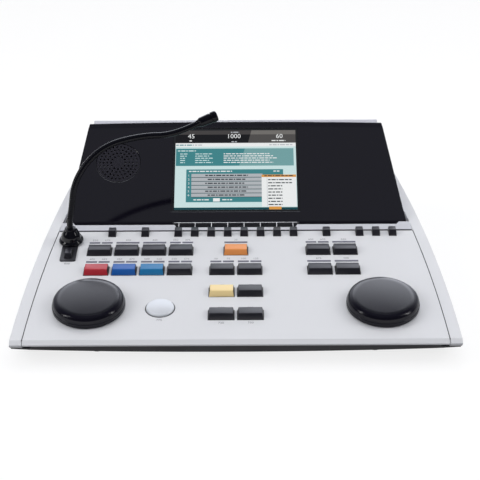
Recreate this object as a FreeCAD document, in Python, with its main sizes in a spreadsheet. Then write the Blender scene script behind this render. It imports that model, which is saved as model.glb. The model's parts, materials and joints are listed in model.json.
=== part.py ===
"""Two-channel diagnostic audiometer: a low wedge console with a folding display lid.

World frame: +X to the operator's right, +Y away from the operator, +Z up, origin on the table
under the middle of the body.  Millimetres and degrees.

Two more frames are used.  The panel frame lies in the sloping control panel: u across (= +X),
v up the slope from the front crease, w out of the panel.  The lid frame has its origin on the
lid's hinge line: u across, s up the lid, t out of the screen.
"""
import FreeCAD, Part
import math
import os

import Sketcher

Vector = FreeCAD.Vector
Rotation = FreeCAD.Rotation

# ------------------------------------------------------------------ driving dimensions
SIZES = [
    # the body
    ("front_height", 22, "table to the crease at the front of the panel"),
    ("panel_tilt", 7.5, "slope of the control panel"),
    ("rear_taper", 32, "each side comes in by this much from front to back"),
    ("side_radius", 1540, "bow of the side cheeks in plan"),
    ("nose_run", 3.5, "front bevel, along the table"),
    ("nose_drop", 2.8, "front bevel, downwards"),
    ("nose_land", 1.2, "upright land under the bevel"),
    ("nose_lip", 15.5, "underside of the front lip, back to the tray"),
    ("foot_height", 2.5, "rubber foot"),
    ("foot_radius", 7, "rubber foot"),
    ("foot_inset", 26, "rubber foot from the ends and sides of the tray"),
    ("cheek_width", 9.8, "side cheek, seen from above"),
    ("cheek_lift", 4, "table to the underside of the cheeks"),
    ("cheek_undercut", 14.5, "slope under the front end of a cheek"),
    ("corner_radius", 8, "rear corners in plan"),
    ("seam_gap", 0.5, "shadow gap between the mouldings"),
    ("plate_thickness", 3, "control panel"),
    ("wall", 2.5, "tray and rear housing walls"),
    ("tray_front_radius", 3200, "bow of the tray's front wall"),
    ("tray_set_back", 4.8, "ends of the tray's front wall behind the front lip"),
    ("rear_rim", 4.9, "top of the back wall behind the lid's well"),
    # layout of the panel, from the left side and from the front crease
    ("mic_inset", 33.5, "side of the body to the microphone's socket"),
    ("mic_to_keys", 27.1, "microphone's socket to the first wide key"),
    ("key_pitch", 24.26, "between the wide keys of a row"),
    ("left_to_centre", 36.99, "last left key to the first key of the middle pairs"),
    ("right_keys_inset", 84.8, "last right key from the side of the body"),
    ("row_4_up", 31.5, "crease to the front row of wide keys"),
    ("row_4_to_3", 31.7, "front row to the next"),
    ("row_3_to_2", 31.6, "third row to the second"),
    ("row_2_to_1", 29.9, "second row to the top row"),
    ("row_1_to_function_keys", 28.4, "top row to the function keys"),
    ("function_keys_to_edge", 5.1, "function keys to the rear edge of the panel"),
    ("dial_inset", 59.7, "dial from the side of the body"),
    ("dial_up", 43.5, "crease to the middle of a dial"),
    ("dial_to_button", 59.6, "left dial to the round button"),
    ("button_up", 41.2, "crease to the middle of the round button"),
    ("mic_up", 141, "crease to the microphone's socket"),
    # hinge strip and lid
    ("strip_depth", 7.6, "hinge strip, front to back"),
    ("ear_width", 13.5, "raised ends of the hinge strip"),
    ("ear_cut", 2.5, "slanted inner ends of the ears"),
    ("ear_rise", 1.5, "raised ends above the panel"),
    ("barrel_gap", 0.65, "hinge strip to the lid's round lower edge"),
    ("step_gap", 1.2, "step of the well to the lid's round lower edge"),
    ("hinge_set_back", 16.1, "rear edge of the control panel to the hinge line"),
    ("hinge_drop", 4, "hinge line below the panel's surface"),
    ("hinge_pin_radius", 2, "steel pin"),
    ("hinge_pin_play", 0.05, "radial play of a pin in the lid"),
    ("hinge_pin_reach", 12, "pin in the lid"),
    ("hinge_pin_seat", 5, "pin in the cheek"),
    ("lid_angle", 29.7, "lid above the panel as it stands"),
    ("lid_thickness", 13, "screen face to back"),
    ("lid_base_gap", 2.7, "lid to cheek at the hinge"),
    ("lid_top_gap", 1.8, "folded lid to cheek at its upper edge"),
    ("lid_head", 8.8, "picture to the upper corners of the bezel"),
    ("lid_crown_radius", 5700, "bow of the upper edge"),
    ("lid_bevel", 6.4, "sloping band along the upper edge"),
    ("lid_bevel_drop", 1.5, "fall of that band"),
    ("bezel_thickness", 4, "black front moulding"),
    ("shell_overhang", 4, "back shell beyond the bezel"),
    ("shell_corner", 5.5, "cut corners of the back shell"),
    ("shell_front_radius", 1.5, "front of the shell's upper edge"),
    ("shell_back_radius", 4, "back of the shell's upper edge"),
    ("well_clearance", 1.4, "round the folded lid"),
    ("screen_width", 115.2, "visible picture"),
    ("screen_height", 86.4, "visible picture"),
    ("screen_border", 2.2, "dark edge of the glass round the picture"),
    ("screen_centre", 55.6, "hinge line to the middle of the picture"),
    ("glass_recess", 0.4, "glass below the bezel"),
    ("grille_radius", 20.8, "loudspeaker grille"),
    ("screen_play", 0.15, "round the glass in the bezel"),
    ("module_rim", 3, "display module beyond the glass, behind the bezel"),
    ("module_depth", 5.5, "display module behind the bezel"),
    ("shell_wall", 2, "back shell"),
    ("grille_inset", 46, "grille from the lid's side at the hinge"),
    ("grille_height", 63.2, "hinge line to the grille's centre"),
    ("grille_thickness", 1.6, "grille disc"),
    ("grille_groove", 0.4, "shadow ring round the grille"),
    ("grille_ledge", 2.5, "ledge that carries the grille"),
    ("hole_radius", 0.95, "corner of a six-sided hole of the grille"),
    ("first_ring", 6.9, "inner ring of holes"),
    ("ring_step", 3.55, "from one ring of holes to the next"),
    ("driver_radius", 20.3, "loudspeaker frame"),
    ("magnet_radius", 11, "loudspeaker magnet"),
    ("driver_depth", 6.4, "loudspeaker behind the bezel"),
    # keys
    ("key_width", 20.8, "wide key"),
    ("key_depth", 12, "wide key"),
    ("key_height", 4.6, "ridge of a wide key above the panel"),
    ("key_fall", 0.8, "top face from the ridge to the back"),
    ("key_front_slope", 2.8, "foot of the front face to the ridge"),
    ("key_edge", 0.45, "cut of the moulded edges"),
    ("key_play", 0.3, "round a key in its hole"),
    ("key_travel", 1, "stroke"),
    ("key_flange", 0.9, "retaining rim under the panel"),
    ("key_flange_thickness", 1.5, "retaining rim"),
    ("key_foot", 4, "square foot that meets the switch"),
    ("key_foot_depth", 6, "foot of a key below the panel's surface"),
    ("function_key_width", 6.6, "function key"),
    ("function_key_depth", 9.4, "function key"),
    ("function_key_height", 5, "ridge of a function key"),
    ("function_key_pitch", 15.06, "between neighbouring function keys"),
    ("bar_depth", 2.2, "light bar above a key"),
    ("bar_rise", 0.25, "light bar above the panel"),
    ("bar_gap", 8, "back of a key to the middle of its light bar"),
    ("bar_split", 1.4, "gap between the halves of a split bar"),
    # round button and dials
    ("button_radius", 11.8, "round button"),
    ("button_crown", 1.5, "dome of the button"),
    ("button_edge", 1.1, "rim of the button above the panel"),
    ("dial_radius", 30.5, "level dial at its foot"),
    ("dial_face_radius", 26.2, "flat of a dial"),
    ("dial_height", 11, "panel to the rim of the flat"),
    ("dial_shoulder", 6, "height of the rounded shoulder"),
    ("dial_lift", 0.6, "running gap under a dial"),
    ("spindle_radius", 3, "dial spindle"),
    ("spindle_play", 0.05, "radial play of the spindle"),
    ("bush_radius", 4.6, "encoder bush"),
    ("bush_play", 0.2, "round a bush in the panel"),
    ("encoder_size", 14, "encoder body"),
    # microphone and talk key
    ("boot_radius", 11, "flange of the boot"),
    ("boot_lift", 1.4, "underside of the boot above the panel"),
    ("boot_flange", 0.8, "height of the flange's edge above the boot's underside"),
    ("boot_height", 15, "boot above the panel"),
    ("boot_top_radius", 4.9, "boot where the neck leaves it"),
    ("neck_radius", 2.9, "flexible neck"),
    ("plug_radius", 3.1, "plug under the boot"),
    ("plug_depth", 11, "plug below the panel's surface"),
    ("plug_play", 0.05, "radial play of the plug"),
    ("boss_wall", 2.4, "wall of the socket's boss"),
    ("capsule_radius", 4.1, "microphone capsule"),
    ("capsule_length", 19, "microphone capsule"),
    ("talk_plate_width", 14, "black plate under the microphone"),
    ("talk_plate_front", 31.4, "front edge of the plate from the socket"),
    ("talk_plate_back", 4, "back edge of the plate from the socket"),
    ("talk_plate_thickness", 1.1, "above the panel"),
    ("talk_plate_corner", 1.8, "front corners of the plate"),
    ("talk_key_width", 6.6, "talk key"),
    ("talk_key_depth", 12.4, "talk key"),
    ("talk_key_height", 4.6, "ridge of the talk key above the panel"),
    ("talk_key_offset", 21.3, "talk key from the socket"),
    # boards
    ("board_thickness", 1.6, "circuit boards"),
    ("board_drop", 9, "panel's surface to the key board"),
    ("board_margin", 3, "key board inside the tray's walls"),
    ("front_post_up", 25.5, "crease to the front posts of the panel"),
    ("post_size", 5, "square posts for the boards"),
    ("switch_size", 6, "key switch"),
    ("main_board_width", 210, "main board"),
    ("main_board_depth", 84, "main board"),
    ("main_board_inset", 26, "main board from the back wall"),
    ("main_board_lift", 4, "posts under the main board"),
    # back
    ("window_width", 250, "window in the back wall"),
    ("window_height", 26, "window in the back wall"),
    ("port_height", 23, "table to the middle of the sockets"),
    ("port_plate_rim", 3, "connector plate behind the wall's edge"),
    ("port_plate_thickness", 2, "connector plate"),
    ("jack_pitch", 21, "between the jack sockets"),
    ("jack_inset", 21, "outermost jack socket from the window's end"),
    ("jack_bore", 3.2, "radius of a jack socket's hole"),
    ("jack_width", 13, "face of a jack socket"),
    ("jack_height", 12, "face of a jack socket"),
    ("jack_depth", 14, "length of a jack socket's hole"),
    ("jack_body", 18, "length of a jack socket"),
    ("socket_proud", 1, "sockets in front of the plate"),
    ("usb_width", 9, "opening of the data socket"),
    ("usb_height", 8, "opening of the data socket"),
    ("usb_depth", 10, "depth of the data socket"),
    ("socket_wall", 1.5, "walls of the sockets"),
    ("socket_pitch", 22, "data socket to power inlet to rocker"),
    ("inlet_bore", 5, "radius of the power inlet's hollow"),
    ("inlet_depth", 7, "depth of the power inlet's hollow"),
    ("rocker_inset", 15, "power rocker from the window's end"),
    ("rocker_frame_depth", 15, "frame of the rocker"),
    ("rocker_width", 11, "power rocker"),
    ("rocker_half", 8, "half the height of the rocker"),
    ("rocker_nose", 2, "ends of the rocker beyond its middle"),
    ("rocker_depth", 3, "pivot to the middle of the rocker's face"),
    ("rocker_set_back", 6.5, "pivot from the outside of the back wall"),
    ("rocker_tilt", 8, "rocker from the middle to a stop"),
    ("rocker_play", 0.3, "beside the rocker in its frame"),
    ("rocker_pin_radius", 1.5, "pivot stubs of the rocker"),
    ("rocker_pin_play", 0.05, "radial play of the stubs"),
]

# Rules that follow from the sizes above.
RULES = [
    ("half_width", "mic_inset + mic_to_keys + 3.5 * key_pitch + left_to_centre",
     "middle to the side of the body at the front"),
    ("rear_half", "half_width - rear_taper", "middle to the side of the body at the back"),
    ("mic_u", "mic_inset - half_width", "microphone's socket"),
    ("left_key_u", "mic_u + mic_to_keys", "first left key"),
    ("right_key_u", "half_width - right_keys_inset - key_pitch", "first right key"),
    ("dial_u", "half_width - dial_inset", "dials"),
    ("button_u", "dial_to_button - dial_u", "round button"),
    ("row_4", "row_4_up", "front row of wide keys"),
    ("row_3", "row_4 + row_4_to_3", "third row"),
    ("row_2", "row_3 + row_3_to_2", "second row"),
    ("row_1", "row_2 + row_2_to_1", "top row"),
    ("function_row", "row_1 + row_1_to_function_keys", "function keys"),
    ("control_depth", "function_row + function_keys_to_edge", "rear edge of the panel"),
    ("strip_front", "control_depth + seam_gap", "front of the hinge strip"),
    ("hinge_v", "control_depth + hinge_set_back", "hinge line"),
    ("lid_half", "lid_thickness / 2", "round lower edge of the lid"),
    ("lid_length", "screen_centre + screen_height / 2 + lid_head",
     "hinge line to the upper corners of the bezel"),
    ("barrel_solid", "screen_centre - screen_height / 2 - screen_border - module_rim - screen_play",
     "solid part of the shell along the hinge"),
    ("step_v", "hinge_v - lid_half - step_gap", "step of the well"),
    ("ear_v", "hinge_v - sqrt(pow(lid_half + barrel_gap; 2) - pow(hinge_drop + ear_rise; 2))",
     "upper rear edge of the hinge strip's ears"),
    ("well_depth", "hinge_drop + lid_half + well_clearance", "floor of the well"),
    ("crown_rise", "lid_crown_radius - sqrt(pow(lid_crown_radius; 2) - pow(rear_half - 10; 2))",
     "rise of the bowed upper edge"),
    ("lid_reach", "lid_length + crown_rise + shell_overhang", "hinge line to the shell's edge"),
    ("well_end", "hinge_v + lid_reach + well_clearance", "back of the well"),
    ("body_depth", "nose_run + well_end * cos(panel_tilt) + rear_rim", "front nose to back wall"),
    ("front_y", "-body_depth / 2", "nose"),
    ("back_y", "body_depth / 2", "back wall"),
    ("crease_y", "front_y + nose_run", "crease"),
    ("tray_y", "front_y + nose_lip + tray_set_back", "ends of the tray's front wall"),
    ("tray_top", "foot_height + wall", "inside floor of the tray"),
    ("nose_top", "front_height - nose_drop", "lower edge of the front bevel"),
    ("nose_foot", "nose_top - nose_land", "underside of the front lip"),
    ("hinge_y", "crease_y + hinge_v * cos(panel_tilt) + hinge_drop * sin(panel_tilt)", "hinge"),
    ("hinge_z", "front_height + hinge_v * sin(panel_tilt) - hinge_drop * cos(panel_tilt)",
     "hinge"),
    ("flange_foot", "plate_thickness + key_play + key_flange_thickness",
     "underside of a key's rim below the panel's surface"),
    ("board_foot", "board_drop + board_thickness", "underside of the key board"),
    ("first_jack", "window_width / 2 - jack_inset", "middle to the outermost jack socket"),
    ("rocker_place", "window_width / 2 - rocker_inset", "power rocker from the middle"),
    ("inlet_place", "rocker_place - socket_pitch", "power inlet from the middle"),
    ("usb_place", "inlet_place - socket_pitch", "data socket from the middle"),
]

doc = FreeCAD.newDocument("audiometer")
sheet = doc.addObject("Spreadsheet::Sheet", "sizes")
NAMES = []
for row, (alias, size, note) in enumerate(SIZES + RULES, start=1):
    sheet.set(f"A{row}", note)
    sheet.set(f"B{row}", f"={size}" if isinstance(size, str) else str(size))
    sheet.setAlias(f"B{row}", alias)
    NAMES.append(alias)
doc.recompute()


def cell(text):
    """Turn names of the sheet into references, so that rules can be written in plain words."""
    words = []
    word = ""
    for letter in text + " ":
        if letter.isalnum() or letter == "_":
            word += letter
            continue
        words.append(f"sizes.{word}" if word in NAMES else word)
        words.append(letter)
        word = ""
    return "".join(words).strip()


def number(text):
    """The value of a rule now, in millimetres or degrees."""
    return float(sheet.evalExpression(cell(text)))


# ------------------------------------------------------------------ frames
def panel_y(v, w="0"):
    """World y of a point of the panel frame."""
    return f"(crease_y + ({v}) * cos(panel_tilt) - ({w}) * sin(panel_tilt))"


def panel_z(v, w="0"):
    """World z of a point of the panel frame."""
    return f"(front_height + ({v}) * sin(panel_tilt) + ({w}) * cos(panel_tilt))"


def surface_z(y, depth="0"):
    """World z of a plane at a depth below the panel's surface, over a world y."""
    return (f"(front_height - ({depth}) / cos(panel_tilt)"
            f" + (({y}) - crease_y) * tan(panel_tilt))")


def place(thing, x, y, z, tilt="0"):
    """Put a thing at a world point, tipped about X, with every number tied to the sheet."""
    thing.Placement = FreeCAD.Placement(Vector(), Rotation(Vector(1, 0, 0), 1))
    thing.setExpression("Placement.Base.x", cell(x))
    thing.setExpression("Placement.Base.y", cell(y))
    thing.setExpression("Placement.Base.z", cell(z))
    thing.setExpression("Placement.Rotation.Angle", cell(tilt))
    return thing


def on_panel(thing, u, v, w="0"):
    """Put a thing at a point of the panel frame, square to the panel."""
    return place(thing, u, panel_y(v, w), panel_z(v, w), "panel_tilt")


def on_lid(thing):
    """Put a thing that is drawn in the lid frame on the open lid."""
    return place(thing, "0", "hinge_y", "hinge_z", "panel_tilt + lid_angle")


# ------------------------------------------------------------------ sketches
SIDE_VIEW = Rotation(Vector(1, 1, 1), 120)      # sketch x is world y, sketch y is world z


def tie(sketch, kind, geometry, point, rule, value):
    """Constrain a point of a sketch, measured from its origin, and bind it to the sheet."""
    constraint = sketch.addConstraint(Sketcher.Constraint(kind, -1, 1, geometry, point, value))
    sketch.setExpression(f"Constraints[{constraint}]", cell(rule))


def tie_radius(sketch, geometry, rule):
    """Constrain an arc's or a circle's radius and bind it to the sheet."""
    constraint = sketch.addConstraint(Sketcher.Constraint("Radius", geometry, number(rule)))
    sketch.setExpression(f"Constraints[{constraint}]", cell(rule))


def outline(sketch, corners):
    """Close an outline through corners (x, y) or (x, y, bulge, radius of the arc that follows).

    The bulge is 1 where the arc swells to the right of the way round and -1 to the left.
    """
    spots = [Vector(number(corner[0]), number(corner[1]), 0) for corner in corners]
    first = sketch.GeometryCount
    ends = []
    for index, corner in enumerate(corners):
        start = spots[index]
        stop = spots[(index + 1) % len(spots)]
        if len(corner) == 2:
            sketch.addGeometry(Part.LineSegment(start, stop), False)
            ends.append((1, 2))
            continue
        bulge, radius = corner[2], number(corner[3])
        chord = stop - start
        aside = Vector(chord.y, -chord.x, 0).normalize()
        away = math.sqrt(radius * radius - chord.Length ** 2 / 4)
        centre = (start + stop) / 2 - aside * away * bulge
        rays = [spot - centre for spot in (start, stop)[::bulge]]
        turns = [math.atan2(ray.y, ray.x) for ray in rays]
        ring = Part.Circle(centre, Vector(0, 0, 1), radius)
        sketch.addGeometry(Part.ArcOfCircle(ring, turns[0], turns[1]), False)
        ends.append((1, 2)[::bulge])
    for index, corner in enumerate(corners):
        geometry = first + index
        following = (index + 1) % len(corners)
        sketch.addConstraint(Sketcher.Constraint("Coincident", geometry, ends[index][1],
                                                 first + following, ends[following][0]))
        tie(sketch, "DistanceX", geometry, ends[index][0], corner[0], spots[index].x)
        tie(sketch, "DistanceY", geometry, ends[index][0], corner[1], spots[index].y)
        if len(corner) == 4:
            tie_radius(sketch, geometry, corner[3])


def circle(sketch, x, y, radius):
    """Add a circle that is tied to the sheet."""
    centre = Vector(number(x), number(y), 0)
    geometry = sketch.addGeometry(Part.Circle(centre, Vector(0, 0, 1), number(radius)), False)
    tie(sketch, "DistanceX", geometry, 3, x, centre.x)
    tie(sketch, "DistanceY", geometry, 3, y, centre.y)
    tie_radius(sketch, geometry, radius)


def rectangle(length, width, x="0", y="0"):
    """Corners of a rectangle round a point."""
    return [(f"({x}) - ({length}) / 2", f"({y}) - ({width}) / 2"),
            (f"({x}) + ({length}) / 2", f"({y}) - ({width}) / 2"),
            (f"({x}) + ({length}) / 2", f"({y}) + ({width}) / 2"),
            (f"({x}) - ({length}) / 2", f"({y}) + ({width}) / 2")]


# ------------------------------------------------------------------ Part helpers
def extrusion(name, corners, length, rotation=Rotation(), back="0"):
    """A free sketch pushed out along its normal by length, and by back the other way."""
    sketch = doc.addObject("Sketcher::SketchObject", f"{name}_sketch")
    sketch.Placement = FreeCAD.Placement(Vector(), rotation)
    outline(sketch, corners)
    solid = doc.addObject("Part::Extrusion", name)
    solid.Base = sketch
    solid.DirMode = "Normal"
    solid.Solid = True
    solid.setExpression("LengthFwd", cell(length))
    solid.setExpression("LengthRev", cell(back))
    return solid


def moulding(name, plan, profile):
    """The solid that has this outline from above and this profile from the side."""
    tall = extrusion(f"{name}_plan", plan, "body_depth", back="body_depth")
    wide = extrusion(f"{name}_profile", profile, "body_depth", SIDE_VIEW, "body_depth")
    solid = doc.addObject("Part::MultiCommon", name)
    solid.Shapes = [tall, wide]
    return solid


def block(name, length, width, height):
    """A box with its sizes tied to the sheet."""
    solid = doc.addObject("Part::Box", name)
    solid.setExpression("Length", cell(length))
    solid.setExpression("Width", cell(width))
    solid.setExpression("Height", cell(height))
    return solid


def world_box(name, length, width, height, x, y, z):
    """A box centred on x and y that stands on z."""
    return place(block(name, length, width, height), f"({x}) - ({length}) / 2",
                 f"({y}) - ({width}) / 2", z)


def panel_box(name, length, width, u, v, low, high):
    """A box centred on u and v of the panel frame, between two heights of that frame."""
    left = f"({u}) - ({length}) / 2"
    front = f"({v}) - ({width}) / 2"
    return on_panel(block(name, length, width, f"({high}) - ({low})"), left, front, low)


def panel_rod(name, radius, u, v, low, high):
    """A round bar square to the panel, between two heights of the panel frame."""
    solid = doc.addObject("Part::Cylinder", name)
    solid.setExpression("Radius", cell(radius))
    solid.setExpression("Height", cell(f"({high}) - ({low})"))
    return on_panel(solid, u, v, low)


ALONG_X = Rotation(Vector(0, 1, 0), 90)
ALONG_Y = Rotation(Vector(1, 0, 0), -90)
ALONG_Z = Rotation()


def rod(name, radius, length, x, y, z, way):
    """A round bar from a world point along one of the axes."""
    solid = doc.addObject("Part::Cylinder", name)
    solid.setExpression("Radius", cell(radius))
    solid.setExpression("Height", cell(length))
    solid.Placement = FreeCAD.Placement(Vector(), way)
    solid.setExpression("Placement.Base.x", cell(x))
    solid.setExpression("Placement.Base.y", cell(y))
    solid.setExpression("Placement.Base.z", cell(z))
    return solid


def join(name, things):
    """Things fused into one."""
    solid = doc.addObject("Part::MultiFuse", name)
    solid.Shapes = things
    return solid


def cut(name, base, tools):
    """Base less the tools."""
    solid = doc.addObject("Part::Cut", name)
    solid.Base = base
    solid.Tool = tools[0] if len(tools) == 1 else join(f"{name}_tools", tools)
    return solid


def group(name, things):
    """Separate solids that make one sub-part."""
    solid = doc.addObject("Part::Compound", name)
    solid.Links = things
    return solid


def fillet(name, base, radius, wanted):
    """Round the edges of a solid that a test of their bounds picks out."""
    doc.recompute()
    solid = doc.addObject("Part::Fillet", name)
    solid.Base = base
    solid.Edges = [(index, number(radius), number(radius))
                   for index, edge in enumerate(base.Shape.Edges, start=1)
                   if wanted(edge.BoundBox)]
    return solid


# ------------------------------------------------------------------ PartDesign helpers
def new_body(name):
    """An empty body."""
    return doc.addObject("PartDesign::Body", f"{name}_body")


def body_sketch(body, name, role="XY_Plane", lift="0"):
    """A sketch on one of the body's origin planes, lifted off it by a rule."""
    sketch = body.newObject("Sketcher::SketchObject", name)
    plane = next(item for item in body.Origin.OriginFeatures if item.Role == role)
    sketch.AttachmentSupport = [(plane, "")]
    sketch.MapMode = "FlatFace"
    sketch.setExpression("AttachmentOffset.Base.z", cell(lift))
    return sketch


def pad(body, sketch, length, midplane=False, downwards=False):
    """Push a sketch out."""
    feature = body.newObject("PartDesign::Pad", f"{sketch.Name}_pad")
    feature.Profile = sketch
    feature.setExpression("Length", cell(length))
    feature.Midplane = midplane
    feature.Reversed = downwards
    return feature


def pocket(body, sketch, depth, upwards=False):
    """Cut a sketch's outline into the body."""
    feature = body.newObject("PartDesign::Pocket", f"{sketch.Name}_pocket")
    feature.Profile = sketch
    feature.setExpression("Length", cell(depth))
    feature.Reversed = upwards
    return feature


def turn(body, name, corners):
    """Turn an outline (radius, height) about the body's Z axis."""
    sketch = body_sketch(body, name, "XZ_Plane")
    outline(sketch, corners)
    feature = body.newObject("PartDesign::Revolution", f"{name}_turned")
    feature.Profile = sketch
    feature.ReferenceAxis = (sketch, ["V_Axis"])
    feature.Angle = 360
    return feature


def dress(body, kind, base, rule, wanted):
    """Round or chamfer the edges of a feature that a test of their bounds picks out."""
    doc.recompute()
    names = [f"Edge{index}" for index, edge in enumerate(base.Shape.Edges, start=1)
             if wanted(edge.BoundBox)]
    feature = body.newObject(f"PartDesign::{kind}", f"{base.Name}_dressed")
    feature.Base = (base, names)
    feature.setExpression("Radius" if kind == "Fillet" else "Size", cell(rule))


parts = []


def finish(thing, label):
    """Name a sub-part: its label is the name of its file."""
    thing.Label = label
    parts.append(thing)
    return thing


# ------------------------------------------------------------------ plan outlines
def side_x(y, front_half, rear_half):
    """Half width at a world y of a long side arc with these half widths at its two ends."""
    chord = f"hypot(({front_half}) - ({rear_half}); body_depth)"
    away = f"sqrt(pow(side_radius; 2) - pow({chord} / 2; 2))"
    centre_x = f"((({front_half}) + ({rear_half})) / 2 - {away} * body_depth / {chord})"
    centre_y = f"(-{away} * (({front_half}) - ({rear_half})) / {chord})"
    return f"({centre_x} + sqrt(pow(side_radius; 2) - pow(({y}) - {centre_y}; 2)))"


def inner_x(y):
    """World x of the right cheek's inner face."""
    return side_x(y, "half_width - cheek_width", "rear_half - cheek_width")


def between_cheeks(inset, front, back, bowed_front=False):
    """Plan outline between the cheeks' inner faces, inset from them."""
    front_x = f"({inner_x(front)} - ({inset}))"
    back_x = f"({inner_x(back)} - ({inset}))"
    corners = [(f"-{front_x}", front), (front_x, front, 1, "side_radius"),
               (back_x, back), (f"-{back_x}", back, 1, "side_radius")]
    if bowed_front:
        corners[0] = (f"-{front_x}", front, 1, "tray_front_radius")
    return corners


SEAM_Y = panel_y("control_depth")
STRIP_Y = panel_y("strip_front")
PIN_X = inner_x("hinge_y")
LID_BASE = f"({PIN_X} - lid_base_gap)"
LID_TOP = f"({inner_x(panel_y('hinge_v + lid_length'))} - lid_top_gap)"


# ------------------------------------------------------------------ casing
def side_cheek(name, sign):
    """A long wedge-shaped side moulding with a bevelled nose and a rounded rear corner."""
    bulge = 1 if sign == "" else -1
    plan = [(f"{sign}half_width", "front_y", bulge, "side_radius"),
            (f"{sign}rear_half", "back_y"),
            (f"{sign}(rear_half - cheek_width)", "back_y", -bulge, "side_radius"),
            (f"{sign}(half_width - cheek_width)", "front_y")]
    profile = [("crease_y", "front_height"), ("front_y", "nose_top"), ("front_y", "nose_foot"),
               ("front_y + cheek_undercut", "cheek_lift"), ("back_y", "cheek_lift"),
               ("back_y", surface_z("back_y"))]
    blank = moulding(f"{name}_blank", plan, profile)
    start = f"{PIN_X} - lid_base_gap" if sign == "" else f"-{PIN_X} - hinge_pin_seat"
    seat = rod(f"{name}_pin_seat", "hinge_pin_radius", "hinge_pin_seat + lid_base_gap", start,
               "hinge_y", "hinge_z", ALONG_X)
    outer_face = number("rear_half - cheek_width / 2")
    upright = number("front_height")
    corner = fillet(f"{name}_corner", cut(f"{name}_bored", blank, [seat]), "corner_radius",
                    lambda bounds: bounds.ZLength > upright and bounds.YLength < 1
                    and abs(bounds.Center.x) > outer_face)
    return finish(corner, name)


side_cheek("right_side_cheek", "")
side_cheek("left_side_cheek", "-")

# The tray: floor over the whole body, walls only under the control panel.
tray_shell = cut("tray_shell", moulding(
    "tray_outside", between_cheeks("seam_gap", "tray_y", "back_y", True),
    [("front_y", "foot_height"), ("back_y", "foot_height"), ("back_y", "tray_top"),
     (SEAM_Y, "tray_top"), (SEAM_Y, surface_z(SEAM_Y, "plate_thickness")),
     ("front_y", surface_z("front_y", "plate_thickness"))]), [moulding(
         "tray_inside", between_cheeks("seam_gap + wall", "tray_y + wall", "back_y", True),
         [("front_y", "tray_top"), ("hinge_y", "tray_top"), ("hinge_y", "hinge_z"),
          ("front_y", "hinge_z")])])
board_y = "(back_y - main_board_inset - main_board_depth / 2)"
board_posts = [world_box(f"board_post_{index}", "post_size", "post_size", "main_board_lift",
                         f"{across} * (main_board_width / 2 - 8)",
                         f"{board_y} + {along} * (main_board_depth / 2 - 8)", "tray_top")
               for index, (across, along) in enumerate([(-1, -1), (1, -1), (-1, 1), (1, 1)])]
finish(join("tray", [tray_shell] + board_posts), "base_pan")

feet = [rod(f"foot_{index}", "foot_radius", "foot_height",
            f"{across} * (rear_half - cheek_width - foot_inset)",
            f"{along} * (back_y - foot_inset)", "0", ALONG_Z)
        for index, (across, along) in enumerate([(-1, -1), (1, -1), (-1, 1), (1, 1)])]
finish(group("four_feet", feet), "feet")


# ------------------------------------------------------------------ layout of the controls
FUNCTION_PLACES = [-4, -2, 0, 1, 2, 3, 4, 5, 6, 7, 9, 11, 12, 13]
function_keys = [(f"function_key_{index}", f"({place_number} - 3.5) * function_key_pitch")
                 for index, place_number in enumerate(FUNCTION_PLACES, start=1)]

# Each wide key: name, u, v and its light bar, which is one piece, two halves or none.
wide_keys = []
for index in range(8):
    bar = "split" if index in (0, 3, 4, 5, 6, 7) else "whole"
    wide_keys.append((f"left_key_{index + 1}", f"left_key_u + {index % 4} * key_pitch",
                      "row_1" if index < 4 else "row_2", bar))
wide_keys.append(("centre_key_1", "0", "row_1", "whole"))
for index in range(6):
    wide_keys.append((f"centre_key_{index + 2}", f"({index % 2} - 0.5) * key_pitch",
                      f"row_{2 + index // 2}", "split" if index < 2 else "none"))
for index in range(4):
    wide_keys.append((f"right_key_{index + 1}", f"right_key_u + {index % 2} * key_pitch",
                      "row_1" if index < 2 else "row_2", "split" if index == 0 else "whole"))

TALK_V = "(mic_up - talk_key_offset)"
UNDER = "-board_foot"
OVER = "key_height"

# ------------------------------------------------------------------ control panel
panel_blank = moulding(
    "panel_blank", between_cheeks("seam_gap", "front_y", SEAM_Y),
    [("crease_y", "front_height"), ("front_y", "nose_top"), ("front_y", "nose_foot"),
     ("front_y + nose_lip", "nose_foot"),
     ("front_y + nose_lip", surface_z("front_y + nose_lip", "plate_thickness")),
     (SEAM_Y, surface_z(SEAM_Y, "plate_thickness")), (SEAM_Y, surface_z(SEAM_Y))])

bars = []
openings = []
for name, u, v, bar in wide_keys:
    openings.append(panel_box(f"{name}_hole", "key_width + 2 * key_play",
                              "key_depth + 2 * key_play", u, v, UNDER, OVER))
    bar_v = f"{v} + key_depth / 2 + bar_gap"
    low = "-(plate_thickness + key_play)"
    if bar == "whole":
        bars.append(panel_box(f"{name}_bar", "key_width", "bar_depth", u, bar_v, low,
                              "bar_rise"))
    if bar == "split":
        for side in (-1, 1):
            half = "(key_width - bar_split) / 2"
            bars.append(panel_box(f"{name}_bar_{side + 2}", half, "bar_depth",
                                  f"{u} + {side} * (key_width + bar_split) / 4", bar_v, low,
                                  "bar_rise"))
for name, u in function_keys:
    back = "(function_key_depth / 2 + function_keys_to_edge + key_play)"
    openings.append(panel_box(f"{name}_hole", "function_key_width + 2 * key_play",
                              f"function_key_depth / 2 + key_play + {back}", u,
                              f"function_row + ({back} - function_key_depth / 2 - key_play) / 2",
                              UNDER, OVER))
openings.append(panel_box("talk_hole", "talk_key_width + 2 * key_play",
                          "talk_key_depth + 2 * key_play", "mic_u", TALK_V, UNDER, OVER))
openings.append(panel_rod("button_hole", "button_radius + key_play", "button_u", "button_up",
                          UNDER, OVER))
for side in ("-", ""):
    openings.append(panel_rod("bush_hole", "bush_radius + bush_play", f"{side}dial_u",
                              "dial_up", UNDER, OVER))

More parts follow.
